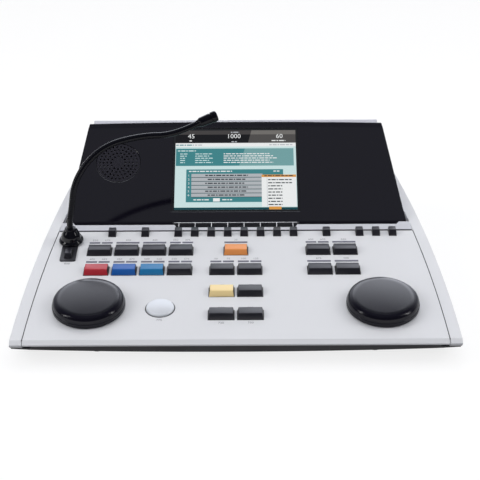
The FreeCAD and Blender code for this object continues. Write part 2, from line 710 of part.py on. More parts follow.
post_places = []
for side in (-1, 1):
    post_places += [(f"{side} * (half_width - 32.5)", "front_post_up"),
                    (f"{side} * (half_width - 32.5)", "mic_up - 49"),
                    (f"{side} * 45", "front_post_up"),
                    (f"{side} * (key_pitch + 6.2)", "(row_1 + row_2) / 2")]
posts = [panel_box(f"panel_post_{index}", "post_size", "post_size", u, v, "-board_drop",
                   "-plate_thickness / 2")
         for index, (u, v) in enumerate(post_places)]
boss = panel_rod("socket_boss", "plug_radius + plug_play + boss_wall", "mic_u", "mic_up",
                 "-plug_depth - 1", "-plate_thickness / 2")
socket = panel_rod("socket_hole", "plug_radius + plug_play", "mic_u", "mic_up",
                   "-plug_depth - 2", OVER)
panel_solid = join("panel_solid", [panel_blank, boss] + posts)
finish(cut("panel", panel_solid, openings + bars + [socket]), "control_panel")
finish(group("bars", bars), "indicator_bars")


# ------------------------------------------------------------------ keys
def key(label, u, v, width, depth, height, rim_back="key_flange"):
    """A two-facet key: steep front face, long top face, retaining rim and square foot."""
    body = new_body(label)
    side = body_sketch(body, f"{label}_side", "YZ_Plane")
    outline(side, [(f"-{depth} / 2", "-flange_foot"), (f"{depth} / 2", "-flange_foot"),
                   (f"{depth} / 2", f"{height} - key_fall"),
                   (f"-{depth} / 2 + key_front_slope * {height} / key_height", height),
                   (f"-{depth} / 2", "0")])
    pad(body, side, width, midplane=True)
    rim = body_sketch(body, f"{label}_rim", lift="-flange_foot")
    outline(rim, rectangle(f"{width} + 2 * key_flange", f"{depth} + key_flange + {rim_back}",
                           "0", f"({rim_back} - key_flange) / 2"))
    pad(body, rim, "key_flange_thickness")
    foot = body_sketch(body, f"{label}_foot", lift="-flange_foot")
    outline(foot, rectangle("key_foot", "key_foot"))
    base = pad(body, foot, "key_foot_depth - flange_foot", downwards=True)
    dress(body, "Chamfer", base, "key_edge", lambda bounds: bounds.ZMin > -1e-3
          and bounds.ZMax > 1)
    on_panel(body, u, v)
    return finish(body, label)


for name, u, v, bar in wide_keys:
    key(name, u, v, "key_width", "key_depth", "key_height")
for name, u in function_keys:
    key(name, u, "function_row", "function_key_width", "function_key_depth",
        "function_key_height", "0")
key("talk_key", "mic_u", TALK_V, "talk_key_width", "talk_key_depth", "talk_key_height")

# The round button: a low crown with its rim and foot.
button = new_body("round_button")
turn(button, "button_profile", [
    ("0", "-key_foot_depth"), ("key_foot / 2", "-key_foot_depth"),
    ("key_foot / 2", "-flange_foot"), ("button_radius + key_flange", "-flange_foot"),
    ("button_radius + key_flange", "key_flange_thickness - flange_foot"),
    ("button_radius", "key_flange_thickness - flange_foot"),
    ("button_radius", "button_edge"), ("button_radius * 0.8", "button_edge + button_crown"),
    ("0", "button_edge + button_crown")])
finish(on_panel(button, "button_u", "button_up"), "round_button")


# ------------------------------------------------------------------ dials
def dial(label, u):
    """An endless level dial: flat top, full shoulder and spindle."""
    body = new_body(label)
    turn(body, f"{label}_profile", [
        ("0", "-board_drop + 0.5"), ("spindle_radius", "-board_drop + 0.5"),
        ("spindle_radius", "dial_lift"), ("dial_radius", "dial_lift"),
        ("dial_radius", "dial_height - dial_shoulder"),
        ("dial_radius * 0.7 + dial_face_radius * 0.3", "dial_height - dial_shoulder * 0.29"),
        ("dial_face_radius", "dial_height"), ("0", "dial_height")])
    return finish(on_panel(body, u, "dial_up"), label)


dial("left_dial", "-dial_u")
dial("right_dial", "dial_u")


# ------------------------------------------------------------------ boards
board_half = f"({inner_x(SEAM_Y)} - seam_gap - wall - board_margin)"
board_front = "(front_post_up - post_size / 2 - 1.5)"
key_plate = on_panel(block("key_plate", f"2 * {board_half}",
                           f"control_depth - 1 - {board_front}", "board_thickness"),
                     f"-{board_half}", board_front, UNDER)
plate_hole = panel_rod("boss_hole", "plug_radius + plug_play + boss_wall + bush_play", "mic_u",
                       "mic_up", f"{UNDER} - 1", "-board_drop + 1")
switch_top = "-(key_foot_depth + key_travel * 1.1)"
switches = [panel_box(f"{name}_switch", "switch_size", "switch_size", u, v, "-board_drop",
                      switch_top)
            for name, u, v in [(name, u, v) for name, u, v, bar in wide_keys]
            + [(name, u, "function_row - 1") for name, u in function_keys]
            + [("talk", "mic_u", TALK_V), ("button", "button_u", "button_up")]]
encoders = []
for side in ("-", ""):
    case = panel_box("encoder_case", "encoder_size", "encoder_size", f"{side}dial_u", "dial_up",
                     "-board_drop", "-(plate_thickness + key_play)")
    bush = panel_rod("encoder_bush", "bush_radius", f"{side}dial_u", "dial_up", "-board_drop",
                     "dial_lift / 2")
    bore = panel_rod("encoder_bore", "spindle_radius + spindle_play", f"{side}dial_u",
                     "dial_up", "-board_drop", OVER)
    encoders.append(cut("encoder", join("encoder_solid", [case, bush]), [bore]))
finish(group("key_board", [cut("key_plate_holed", key_plate, [plate_hole])] + switches
             + encoders), "key_board")
finish(world_box("board", "main_board_width", "main_board_depth", "board_thickness", "0",
                 board_y, "tray_top + main_board_lift"), "main_board")

# ------------------------------------------------------------------ microphone and talk plate
plate = new_body("talk_plate")
plate_sketch = body_sketch(plate, "talk_plate_outline")
outline(plate_sketch, [("-talk_plate_width / 2", "-talk_plate_front"),
                       ("talk_plate_width / 2", "-talk_plate_front"),
                       ("talk_plate_width / 2", "-talk_plate_back"),
                       ("-talk_plate_width / 2", "-talk_plate_back")])
plate_pad = pad(plate, plate_sketch, "talk_plate_thickness")
dress(plate, "Fillet", plate_pad, "talk_plate_corner", lambda bounds: bounds.ZLength > 0.5
      and bounds.YMax < -number("talk_plate_front") + 1)
plate_window = body_sketch(plate, "talk_plate_window")
outline(plate_window, rectangle("talk_key_width + 2 * key_play", "talk_key_depth + 2 * key_play",
                                "0", "-talk_key_offset"))
pocket(plate, plate_window, "talk_plate_thickness", upwards=True)
finish(on_panel(plate, "mic_u", "mic_up"), "talk_plate")

boot = new_body("mic_boot")
turn(boot, "boot_profile", [
    ("0", "-plug_depth"), ("plug_radius", "-plug_depth"), ("plug_radius", "boot_lift"),
    ("boot_radius", "boot_lift"), ("boot_radius", "boot_lift + boot_flange"),
    ("boot_radius * 0.85", "boot_lift + boot_flange + boot_height * 0.17"),
    ("boot_top_radius", "boot_height - 1"), ("boot_top_radius", "boot_height"),
    ("0", "boot_height")])
finish(on_panel(boot, "mic_u", "mic_up"), "mic_boot")

# The neck keeps the bend it was given: corners of its route from the socket, in the panel frame.
NECK_ROUTE = [(0.2, 2, 29), (5.5, 12.5, 60), (29, 30.5, 81), (66, 43.5, 83), (93, 49, 84),
              (114, 57.6, 90.4)]


def rounded_path(corners):
    """Straight runs through the corners, joined by arcs as large as the runs allow."""
    edges = []
    last = corners[0]
    for before, corner, after in zip(corners, corners[1:], corners[2:]):
        inward = (before - corner).normalize()
        outward = (after - corner).normalize()
        half_turn = (math.pi - inward.getAngle(outward)) / 2
        reach = 0.45 * min(before.distanceToPoint(corner), after.distanceToPoint(corner))
        radius = reach / math.tan(half_turn)
        start = corner + inward * reach
        stop = corner + outward * reach
        centre = corner + (inward + outward).normalize() * math.hypot(radius, reach)
        middle = centre + (corner - centre).normalize() * radius
        edges += [Part.LineSegment(last, start).toShape(), Part.Arc(start, middle, stop).toShape()]
        last = stop
    edges.append(Part.LineSegment(last, corners[-1]).toShape())
    return Part.Wire(edges)


panel_frame = FreeCAD.Placement(
    Vector(number("mic_u"), number(panel_y("mic_up")), number(panel_z("mic_up"))),
    Rotation(Vector(1, 0, 0), number("panel_tilt")))
neck_start = Vector(0, 0, number("boot_height"))
neck_path = rounded_path([neck_start, neck_start + Vector(0, 0, 8)]
                         + [Vector(*spot) for spot in NECK_ROUTE])
neck_end = Part.Wire(Part.Circle(neck_start, Vector(0, 0, 1), number("neck_radius")).toShape())
neck = doc.addObject("Part::Feature", "neck")
neck.Shape = neck_path.makePipe(Part.Face(neck_end))
neck.Placement = panel_frame
finish(neck, "gooseneck")

capsule = new_body("mic_capsule")
turn(capsule, "capsule_profile", [
    ("0", "0"), ("neck_radius", "0"), ("capsule_radius * 0.9", "capsule_length * 0.12"),
    ("capsule_radius * 0.9", "capsule_length * 0.76"),
    ("capsule_radius * 1.08", "capsule_length * 0.76"),
    ("capsule_radius * 1.08", "capsule_length * 0.92"),
    ("capsule_radius * 0.7", "capsule_length"), ("0", "capsule_length")])
capsule_way = Vector(*NECK_ROUTE[-1]) - Vector(*NECK_ROUTE[-2])
capsule.Placement = panel_frame * FreeCAD.Placement(Vector(*NECK_ROUTE[-1]),
                                                    Rotation(Vector(0, 0, 1), capsule_way))
finish(capsule, "mic_capsule")

# ------------------------------------------------------------------ rear housing and hinge strip
# The housing's upright front stands behind the rims of the function keys, which lean back.
HOUSING_Y = panel_y("strip_front", "-(flange_foot + key_travel)")
roof = "(well_depth + wall)"
housing_shell = cut("housing_shell", moulding(
    "housing_outside", between_cheeks("seam_gap", HOUSING_Y, "back_y"),
    [(HOUSING_Y, "tray_top"), ("back_y", "tray_top"), ("back_y", surface_z("back_y")),
     (panel_y("well_end"), panel_z("well_end")),
     (panel_y("well_end", "-well_depth"), panel_z("well_end", "-well_depth")),
     (panel_y("step_v", "-well_depth"), panel_z("step_v", "-well_depth")),
     (panel_y("step_v", "-plate_thickness"), panel_z("step_v", "-plate_thickness")),
     (HOUSING_Y, surface_z(HOUSING_Y, "plate_thickness"))]), [moulding(
         "housing_inside", between_cheeks("seam_gap + wall", SEAM_Y, "back_y - wall"),
         [("front_y", "0"), ("back_y - wall", "0"),
          ("back_y - wall", surface_z("back_y - wall", roof)),
          (panel_y("step_v - wall", f"-{roof}"), panel_z("step_v - wall", f"-{roof}")),
          (panel_y("step_v - wall", "-(plate_thickness + wall)"),
           panel_z("step_v - wall", "-(plate_thickness + wall)")),
          ("front_y", surface_z("front_y", "plate_thickness + wall"))])])
window = world_box("window", "window_width", "4 * wall", "window_height", "0", "back_y",
                   "port_height - window_height / 2")
finish(cut("housing", housing_shell, [window]), "rear_housing")

EAR_Y = panel_y("ear_v", "ear_rise")
STRIP_END_Y = panel_y("strip_front + strip_depth")
ear_x = f"({inner_x(STRIP_Y)} - seam_gap - ear_width)"
strip = moulding("strip", [
    (f"-({inner_x(STRIP_Y)} - seam_gap)", STRIP_Y), (f"{inner_x(STRIP_Y)} - seam_gap", STRIP_Y),
    (f"{inner_x(EAR_Y)} - seam_gap", EAR_Y), (f"{ear_x} + ear_cut", EAR_Y),
    (ear_x, STRIP_END_Y), (f"-{ear_x}", STRIP_END_Y), (f"-{ear_x} - ear_cut", EAR_Y),
    (f"-({inner_x(EAR_Y)} - seam_gap)", EAR_Y)],
    [(STRIP_Y, surface_z(STRIP_Y, "plate_thickness")),
     (panel_y("step_v", "-plate_thickness"), panel_z("step_v", "-plate_thickness")),
     (EAR_Y, panel_z("ear_v", "ear_rise")), (STRIP_Y, surface_z(STRIP_Y))])
finish(strip, "hinge_strip")

# ------------------------------------------------------------------ lid
front_t = "(lid_half - bezel_thickness)"
round_s = f"sqrt(pow(lid_half; 2) - pow({front_t}; 2))"
lid_slope = f"(({LID_BASE} - {LID_TOP}) / lid_length)"


def lid_x(s):
    """Half width of the lid at a distance from its hinge line."""
    return f"({LID_BASE} - {lid_slope} * ({s}))"


def crown_s(half, middle):
    """Where a bowed upper edge runs at a half width, when its middle is this far up the lid."""
    return f"({middle} - lid_crown_radius + sqrt(pow(lid_crown_radius; 2) - pow({half}; 2)))"


def lid_plan(top_half, top, corner_cut):
    """Outline of a lid moulding: straight sides that draw in, bowed top, cut upper corners."""
    low = "(-lid_half)"
    upper = crown_s(top_half, top)
    shoulder = f"({upper} - ({corner_cut}))"
    corners = [(f"-{lid_x(low)}", low), (lid_x(low), low), (lid_x(shoulder), shoulder)]
    if corner_cut != "0":
        corners.append((top_half, upper))
    corners[-1] += (1, "lid_crown_radius")
    corners.append((f"-{top_half}", upper))
    if corner_cut != "0":
        corners.append((f"-{lid_x(shoulder)}", shoulder))
    return corners


def lid_box(name, length, width, across, up, low, high):
    """A box in the lid frame, centred on two places, between two heights."""
    return world_box(name, length, width, f"({high}) - ({low})", across, up, low)


lid_top = "(lid_length + crown_rise)"
bezel_half = lid_x(crown_s(lid_x("lid_length"), lid_top))
bezel_blank = moulding("bezel_blank", lid_plan(bezel_half, lid_top, "0"), [
    (f"-{round_s}", front_t), (lid_top, front_t), (lid_top, "lid_half"),
    ("0", "lid_half", 1, "lid_half")])
band = doc.addObject("Part::Revolution", "band")
band_sketch = doc.addObject("Sketcher::SketchObject", "band_sketch")
band_sketch.Placement = FreeCAD.Placement(Vector(), SIDE_VIEW)
outline(band_sketch, [(f"{lid_top} - lid_bevel", "lid_half"),
                      (f"{lid_top} + lid_bevel", "lid_half - 2 * lid_bevel_drop"),
                      (f"{lid_top} + lid_bevel", "lid_thickness"),
                      (f"{lid_top} - lid_bevel", "lid_thickness")])
band.Source = band_sketch
band.Axis = Vector(0, 0, 1)
band.setExpression("Base.y", cell(f"{lid_top} - lid_crown_radius"))
band.Symmetric = True
band.Solid = True
band.setExpression("Angle", cell("3 * lid_reach / lid_crown_radius * 180 / pi"))

grille_u = f"(grille_inset - {LID_BASE})"
glass_width = "(screen_width + 2 * screen_border)"
glass_height = "(screen_height + 2 * screen_border)"
glass_hole = lid_box("glass_hole", f"{glass_width} + 2 * screen_play",
                     f"{glass_height} + 2 * screen_play", "0", "screen_centre", "0",
                     "lid_thickness")
sound_hole = rod("sound_hole", "grille_radius - grille_ledge", "lid_thickness", grille_u,
                 "grille_height", "0", ALONG_Z)
grille_seat = rod("grille_seat", "grille_radius + grille_groove", "lid_thickness", grille_u,
                  "grille_height", "lid_half - grille_thickness", ALONG_Z)
finish(on_lid(cut("bezel", bezel_blank, [band, glass_hole, sound_hole, grille_seat])),
       "display_bezel")

shell_half = f"({lid_x('lid_reach')} - shell_corner)"
shell_blank = moulding("shell_blank", lid_plan(shell_half, "lid_reach", "shell_corner"), [
    ("0", "-lid_half"), ("lid_reach + shell_overhang", "-lid_half"),
    ("lid_reach + shell_overhang", front_t), (f"-{round_s}", front_t, 1, "lid_half")])
crown_line = number("lid_reach - 2 * crown_rise")
shell_front = fillet("shell_front", shell_blank, "shell_front_radius", lambda bounds:
                     bounds.YMin > crown_line and bounds.XLength > crown_line
                     and bounds.ZMin > 0)
shell_round = fillet("shell_round", shell_front, "shell_back_radius", lambda bounds:
                     bounds.YMin > crown_line and bounds.XLength > crown_line
                     and bounds.ZMin < number("shell_wall - lid_half"))
cavity_top = "(lid_length - shell_wall)"
cavity = extrusion("shell_cavity", [
    (f"-({lid_x('barrel_solid')} - shell_wall)", "barrel_solid"),
    (f"{lid_x('barrel_solid')} - shell_wall", "barrel_solid"),
    (f"{lid_x(cavity_top)} - shell_wall", cavity_top),
    (f"-({lid_x(cavity_top)} - shell_wall)", cavity_top)], "lid_half",
    back="lid_half - shell_wall")
pin_bore = "(hinge_pin_reach + 0.5)"
bores = [rod(f"pin_bore_{side + 2}", "hinge_pin_radius + hinge_pin_play", f"2 * {pin_bore}",
             f"{side} * {LID_BASE} - {pin_bore}", "0", "0", ALONG_X) for side in (-1, 1)]
finish(on_lid(cut("shell", shell_round, [cavity] + bores)), "display_back_shell")

glass = lid_box("glass", glass_width, glass_height, "0", "screen_centre", front_t,
                "lid_half - glass_recess")
module = lid_box("module", f"{glass_width} + 2 * module_rim", f"{glass_height} + 2 * module_rim",
                 "0", "screen_centre", f"{front_t} - module_depth", front_t)
finish(on_lid(join("screen", [glass, module])), "lcd_screen")

grille = new_body("speaker_grille")
disc = body_sketch(grille, "grille_disc")
circle(disc, "0", "0", "grille_radius")
pad(grille, disc, "grille_thickness")
for ring in range(4):
    hole = body_sketch(grille, f"grille_hole_{ring + 1}")
    outline(hole, [(f"first_ring + {ring} * ring_step + hole_radius * cos({corner} * 60)",
                    f"hole_radius * sin({corner} * 60)") for corner in range(6)])
    drilled = pocket(grille, hole, "grille_thickness", upwards=True)
    pattern = grille.newObject("PartDesign::PolarPattern", f"grille_ring_{ring + 1}")
    pattern.Originals = [drilled]
    pattern.Axis = (hole, ["N_Axis"])
    pattern.Angle = 360
    pattern.Occurrences = 12 + 6 * ring
    grille.Tip = pattern


def lid_spot(thing, across, up, out):
    """Put a turned thing on the open lid, at a place of the lid frame."""
    angle = "(panel_tilt + lid_angle)"
    return place(thing, across, f"hinge_y + ({up}) * cos({angle}) - ({out}) * sin({angle})",
                 f"hinge_z + ({up}) * sin({angle}) + ({out}) * cos({angle})", angle)


finish(lid_spot(grille, grille_u, "grille_height", "lid_half - grille_thickness"),
       "speaker_grille")
driver = new_body("loudspeaker")
turn(driver, "driver_profile", [
    ("0", "-driver_depth"), ("magnet_radius", "-driver_depth"),
    ("magnet_radius", "-driver_depth / 3"), ("driver_radius", "-driver_depth / 3"),
    ("driver_radius", "0"), ("0", "0")])
finish(lid_spot(driver, grille_u, "grille_height", front_t), "loudspeaker")

pins = [rod(f"hinge_pin_{side + 2}", "hinge_pin_radius",
            "hinge_pin_reach + lid_base_gap + hinge_pin_seat", start, "hinge_y", "hinge_z",
            ALONG_X)
        for side, start in ((-1, f"-{PIN_X} - hinge_pin_seat"),
                            (1, f"{LID_BASE} - hinge_pin_reach"))]
finish(group("pins", pins), "hinge_pins")

# ------------------------------------------------------------------ connectors
plate_y = "(back_y - wall)"


def socket_box(name, length, width, height, x, rear, z):
    """A box centred on x and z whose rear face is at a world y."""
    return world_box(name, length, width, height, x, f"{rear} - ({width}) / 2",
                     f"{z} - ({height}) / 2")


socket_solids = []
plate_holes = []


def plate_hole_for(name, width, height, x):
    """Leave room for a socket in the connector plate."""
    plate_holes.append(socket_box(f"{name}_hole", width, "4 * wall", height, x, "back_y",
                                  "port_height"))


def round_socket(name, width, height, length, bore, depth, x):
    """A socket block that stands a little proud of the connector plate, with a round bore."""
    mouth = f"({plate_y} + socket_proud)"
    case = socket_box(f"{name}_case", width, length, height, x, mouth, "port_height")
    hollow = rod(f"{name}_bore", bore, depth, x, f"{mouth} - ({depth})", "port_height", ALONG_Y)
    socket_solids.append(cut(name, case, [hollow]))
    plate_hole_for(name, width, height, x)


for index in range(8):
    round_socket(f"jack_{index + 1}", "jack_width", "jack_height", "jack_body", "jack_bore",
                 "jack_depth", f"({index} * jack_pitch - first_jack)")
inlet_face = "2 * (inlet_bore + socket_wall)"
round_socket("inlet", inlet_face, inlet_face, "inlet_depth + 2 * socket_wall", "inlet_bore",
             "inlet_depth", "inlet_place")

usb_outer = ("usb_width + 2 * socket_wall", "usb_height + 2 * socket_wall")
usb_case = socket_box("usb_case", usb_outer[0], "usb_depth + socket_wall", usb_outer[1],
                      "usb_place", plate_y, "port_height")
usb_mouth = socket_box("usb_mouth", "usb_width", "usb_depth", "usb_height", "usb_place", plate_y,
                       "port_height")
socket_solids.append(cut("usb_socket", usb_case, [usb_mouth]))
plate_hole_for("usb", usb_outer[0], usb_outer[1], "usb_place")

rocker_reach = "hypot(rocker_half; rocker_depth + rocker_nose)"
rocker_y = "(back_y - rocker_set_back)"
frame_width = "(rocker_width + 2 * rocker_play + 2 * socket_wall)"
frame_height = f"(2 * ({rocker_reach} + rocker_play + socket_wall))"
frame_case = socket_box("rocker_frame", frame_width, "rocker_frame_depth", frame_height,
                        "rocker_place", plate_y, "port_height")
frame_mouth = socket_box("rocker_mouth", "rocker_width + 2 * rocker_play",
                         "rocker_frame_depth - socket_wall",
                         f"2 * ({rocker_reach} + rocker_play)", "rocker_place", plate_y,
                         "port_height")
frame_bore = rod("rocker_bore", "rocker_pin_radius + rocker_pin_play", frame_width,
                 f"rocker_place - {frame_width} / 2", rocker_y, "port_height", ALONG_X)
socket_solids.append(cut("rocker_frame_holed", frame_case, [frame_mouth, frame_bore]))
plate_hole_for("rocker", frame_width, frame_height, "rocker_place")
finish(group("sockets", socket_solids), "rear_sockets")

port_plate = socket_box("port_plate", "window_width + 2 * port_plate_rim",
                        "port_plate_thickness", "window_height + 2 * port_plate_rim", "0",
                        plate_y, "port_height")
finish(cut("port_plate_holed", port_plate, plate_holes), "connector_plate")

rocker_body = extrusion("rocker_body", [
    ("-rocker_depth", "-rocker_half"), ("rocker_depth + rocker_nose", "-rocker_half"),
    ("rocker_depth", "0"), ("rocker_depth + rocker_nose", "rocker_half"),
    ("-rocker_depth", "rocker_half")], "rocker_width / 2", SIDE_VIEW, "rocker_width / 2")
stub = "(rocker_width + 2 * rocker_play + 2 * socket_wall - 0.6)"
stubs = rod("rocker_stubs", "rocker_pin_radius", stub, f"-{stub} / 2", "0", "0", ALONG_X)
finish(place(join("rocker", [rocker_body, stubs]), "rocker_place", rocker_y, "port_height",
             "-rocker_tilt"), "power_rocker")

# ------------------------------------------------------------------ check and export
doc.recompute()
for thing in doc.Objects:
    if "Invalid" in thing.State or "Error" in thing.State:
        raise RuntimeError(f"{thing.Name} is in state {thing.State}")
os.makedirs("parts", exist_ok=True)
for thing in parts:
    if thing.Shape.isNull() or not thing.Shape.isValid() or not thing.Shape.Solids:
        raise RuntimeError(f"{thing.Label} has no sound solid")
    thing.Shape.exportStep(f"parts/{thing.Label}.step")
print(f"{len(parts)} sub-parts, {sum(len(thing.Shape.Solids) for thing in parts)} solids")
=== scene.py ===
# %% [markdown]
# # Dressing a two-channel audiometer
#
# An audiometer is the desk-top box that plays test tones to a listener.  It is a low wedge of
# light grey plastic with press keys, two large level dials, a microphone on a bent neck and a
# display in a folding lid.  Its solid parts are ready and stay where they are.  This lesson
# gives them their finishes, and makes finer pieces for what a hand or an eye gets close to.

import json
import math

import bmesh
import bpy
from mathutils import Matrix, Vector


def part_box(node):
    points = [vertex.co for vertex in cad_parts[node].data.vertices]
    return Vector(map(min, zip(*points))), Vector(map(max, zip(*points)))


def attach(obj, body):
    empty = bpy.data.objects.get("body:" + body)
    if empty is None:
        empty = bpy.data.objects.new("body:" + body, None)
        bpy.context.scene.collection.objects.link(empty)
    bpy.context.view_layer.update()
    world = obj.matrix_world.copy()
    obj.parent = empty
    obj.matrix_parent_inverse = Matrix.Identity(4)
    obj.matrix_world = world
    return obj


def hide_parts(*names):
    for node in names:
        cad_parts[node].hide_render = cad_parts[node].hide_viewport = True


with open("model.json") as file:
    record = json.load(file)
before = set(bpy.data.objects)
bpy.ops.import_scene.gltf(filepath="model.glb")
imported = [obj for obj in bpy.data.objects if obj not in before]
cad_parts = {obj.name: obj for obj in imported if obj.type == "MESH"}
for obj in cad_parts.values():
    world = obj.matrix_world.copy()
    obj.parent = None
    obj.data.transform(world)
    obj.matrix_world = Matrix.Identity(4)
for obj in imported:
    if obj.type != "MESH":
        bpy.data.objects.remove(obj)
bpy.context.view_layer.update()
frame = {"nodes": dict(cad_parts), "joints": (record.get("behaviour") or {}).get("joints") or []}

# %% [markdown]
# ## Working planes
#
# Almost everything lies on one of four planes: the sloping control panel, the open lid, the
# back wall and the underside.  Pieces are drawn flat, in millimetres, and one matrix then
# carries them to their plane.  The panel and the lid are read from the joints, so they can't
# drift away from the solid model: a dial turns about the panel's normal, and the lid stands
# as many degrees above the panel as it can fold down.

# %% Four planes in millimetres
MM = 0.001
DIAL_UP = 43.5      # front crease of the panel to the middle of a dial

joints = {joint["name"]: joint for joint in frame["joints"]}


def plane_at(origin, across, up):
    """A matrix from flat millimetres to a plane of the object."""
    turn = Matrix((across, up, across.cross(up))).transposed().to_4x4()
    return Matrix.Translation(origin) @ turn @ Matrix.Scale(MM, 4)


RIGHT = Vector((1, 0, 0))
up_panel = Vector(joints["left_dial_turn"]["axis"]).normalized().cross(RIGHT)
dial_foot = Vector(joints["left_dial_turn"]["pos_m"])
crease = Vector((0, dial_foot.y, dial_foot.z)) - up_panel * DIAL_UP * MM
PANEL = plane_at(crease, RIGHT, up_panel)

lid_open = -joints["lid_hinge"]["range_deg"][0]
up_lid = Matrix.Rotation(math.radians(lid_open), 3, "X") @ up_panel
LID = plane_at(Vector(joints["lid_hinge"]["pos_m"]), RIGHT, up_lid)

plate_low, plate_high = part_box("connector_plate")
BACK = plane_at(Vector((0, plate_high.y, (plate_low.z + plate_high.z) / 2)), -RIGHT,
                Vector((0, 0, 1)))
UNDERSIDE = plane_at(Vector((0, 0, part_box("base_pan")[0].z)), RIGHT, Vector((0, -1, 0)))
print("panel slope:", round(math.degrees(math.atan2(up_panel.z, up_panel.y)), 2),
      " lid slope:", round(math.degrees(math.atan2(up_lid.z, up_lid.y)), 2))

# %% [markdown]
# ## Measuring and finishing a piece
#
# Two helpers serve the whole lesson.  One measures a solid part in the frame of a plane, so
# a finer piece takes its place and size from the part it stands for.  The other ends every
# piece in the same way: doubles merged, carried to its plane, corners above an angle kept
# crisp, finishes given, and hung on the body that it moves with.

# %% Helpers for measuring and finishing
MERGE, TUBE_MERGE = 0.0005, 0.001       # points closer than this become one, in millimetres


def reach(name, plane):
    """Lowest and highest corner of a solid part in a plane's millimetres."""
    to_plane = plane.inverted()
    spots = [to_plane @ vertex.co for vertex in frame["nodes"][name].data.vertices]
    return Vector(map(min, zip(*spots))), Vector(map(max, zip(*spots)))


def finished(name, work, plane, finishes, body, stands_for=(), crisp=32):
    """Ends a piece: merges doubles, puts it in place and hangs it on its body."""
    bmesh.ops.remove_doubles(work, verts=work.verts, dist=MERGE)
    bmesh.ops.transform(work, matrix=plane, verts=work.verts)
    for face in work.faces:
        face.smooth = True
    for edge in work.edges:
        edge.smooth = edge.calc_face_angle(0) < math.radians(crisp)
    mesh = bpy.data.meshes.new(name)
    work.to_mesh(mesh)
    work.free()
    piece = bpy.data.objects.new(name, mesh)
    bpy.context.scene.collection.objects.link(piece)
    for finish in finishes:
        mesh.materials.append(finish)
    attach(piece, body)
    if stands_for:
        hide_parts(*stands_for)
    print(f"{name}: {len(mesh.polygons)} faces on {body}")


# %% [markdown]
# ## Finishes of moulded plastic
#
# Most of the surface is injection-moulded plastic.  A real moulding is never one flat
# colour: the tone drifts slowly, the spark-eroded mould leaves a fine grain, gloss varies
# with handling, and edges are slightly round and rubbed.  All of that is made with nodes on
# Object coordinates, which need no unwrapping.  A Bevel node rounds the shading of the
# edges and also tells where an edge is, so the rub can follow it.

# %% Helpers for shader nodes
def node(tree, kind, inputs=None, **settings):
    """Adds a shader node.  An input is a number, a colour or another node's output."""
    made = tree.nodes.new("ShaderNode" + kind)
    for key, setting in settings.items():
        setattr(made, key, setting)
    for key, source in (inputs or {}).items():
        if isinstance(source, bpy.types.NodeSocket):
            tree.links.new(source, made.inputs[key])
        else:
            made.inputs[key].default_value = source
    return made


def between(tree, share, first, second):
    """The mixed colour of two, by a share from 0 to 1."""
    return node(tree, "Mix", {0: share, 6: first, 7: second}, data_type="RGBA").outputs[2]


def stretched(tree, amount, low, high, to_low, to_high):
    """A number carried from one range to another."""
    return node(tree, "MapRange", {"Value": amount, "From Min": low, "From Max": high,
                                   "To Min": to_low, "To Max": to_high}).outputs["Result"]


def shade(colour, share, lift=0.0):
    """A colour made lighter or darker, with its alpha."""
    return tuple(min(1, part * share + lift) for part in colour) + (1,)


# %% Moulded plastic
DRIFT_SCALE, TOUCH_SCALE = 14, 55       # waves of tone and of handling in a metre
RUB_START, RUB_FULL = 0.995, 0.8        # cosines of the rounded normal's lean at an edge
GLOSS_SPREAD = 0.12                     # gloss varies by this share of the roughness


def moulded(name, colour, rough, grain=0.5, depth=0.02, tone=0.04, rub=0.12, edge=0.35,
            metal=0.0, coat=0.0, shine=0.5):
    """A moulding's finish.  Grain, its depth and the edge radius are in millimetres."""
    finish = bpy.data.materials.new(name)
    finish.use_nodes = True
    tree = finish.node_tree
    shader = tree.nodes["Principled BSDF"]
    spot = node(tree, "TexCoord").outputs["Object"]
    drift = node(tree, "TexNoise", {"Vector": spot, "Scale": DRIFT_SCALE,
                                    "Detail": 3}).outputs["Fac"]
    fine = node(tree, "TexNoise", {"Vector": spot, "Scale": 1000 / grain, "Detail": 2})
    touch = node(tree, "TexNoise", {"Vector": spot, "Scale": TOUCH_SCALE,
                                    "Detail": 4}).outputs["Fac"]
    soft = node(tree, "Bevel", {"Radius": edge * MM}, samples=6).outputs["Normal"]
    flat = node(tree, "NewGeometry").outputs["Normal"]
    same = node(tree, "VectorMath", {0: soft, 1: flat}, operation="DOT_PRODUCT")
    rubbed = stretched(tree, same.outputs["Value"], RUB_START, RUB_FULL, 0, rub)
    body = between(tree, drift, shade(colour, 1 - tone), shade(colour, 1 + tone))
    worn = between(tree, rubbed, body, shade(colour, 1.1, 0.15))
    gloss = stretched(tree, touch, 0.3, 0.7, rough * (1 - GLOSS_SPREAD),
                      min(1, rough * (1 + GLOSS_SPREAD)))
    bump = node(tree, "Bump", {"Strength": 0.5, "Distance": depth * MM,
                               "Height": fine.outputs["Fac"], "Normal": soft})
    tree.links.new(worn, shader.inputs["Base Color"])
    tree.links.new(gloss, shader.inputs["Roughness"])
    tree.links.new(bump.outputs["Normal"], shader.inputs["Normal"])
    shader.inputs["Metallic"].default_value = metal
    shader.inputs["Specular IOR Level"].default_value = shine
    shader.inputs["Coat Weight"].default_value = coat
    shader.inputs["Coat Roughness"].default_value = 0.08
    return finish


# %% [markdown]
# ## One finish per slot
#
# The solid model names a slot for each of its finishes: casing, strip, lid, keys and so on.
# One dictionary holds a finish for each slot, so the solid parts and the finer pieces that
# replace them share the same plastic.  Colours are written as they should look under a
# plain light.  The blacks are never zero: moulded black reflects two or three percent.

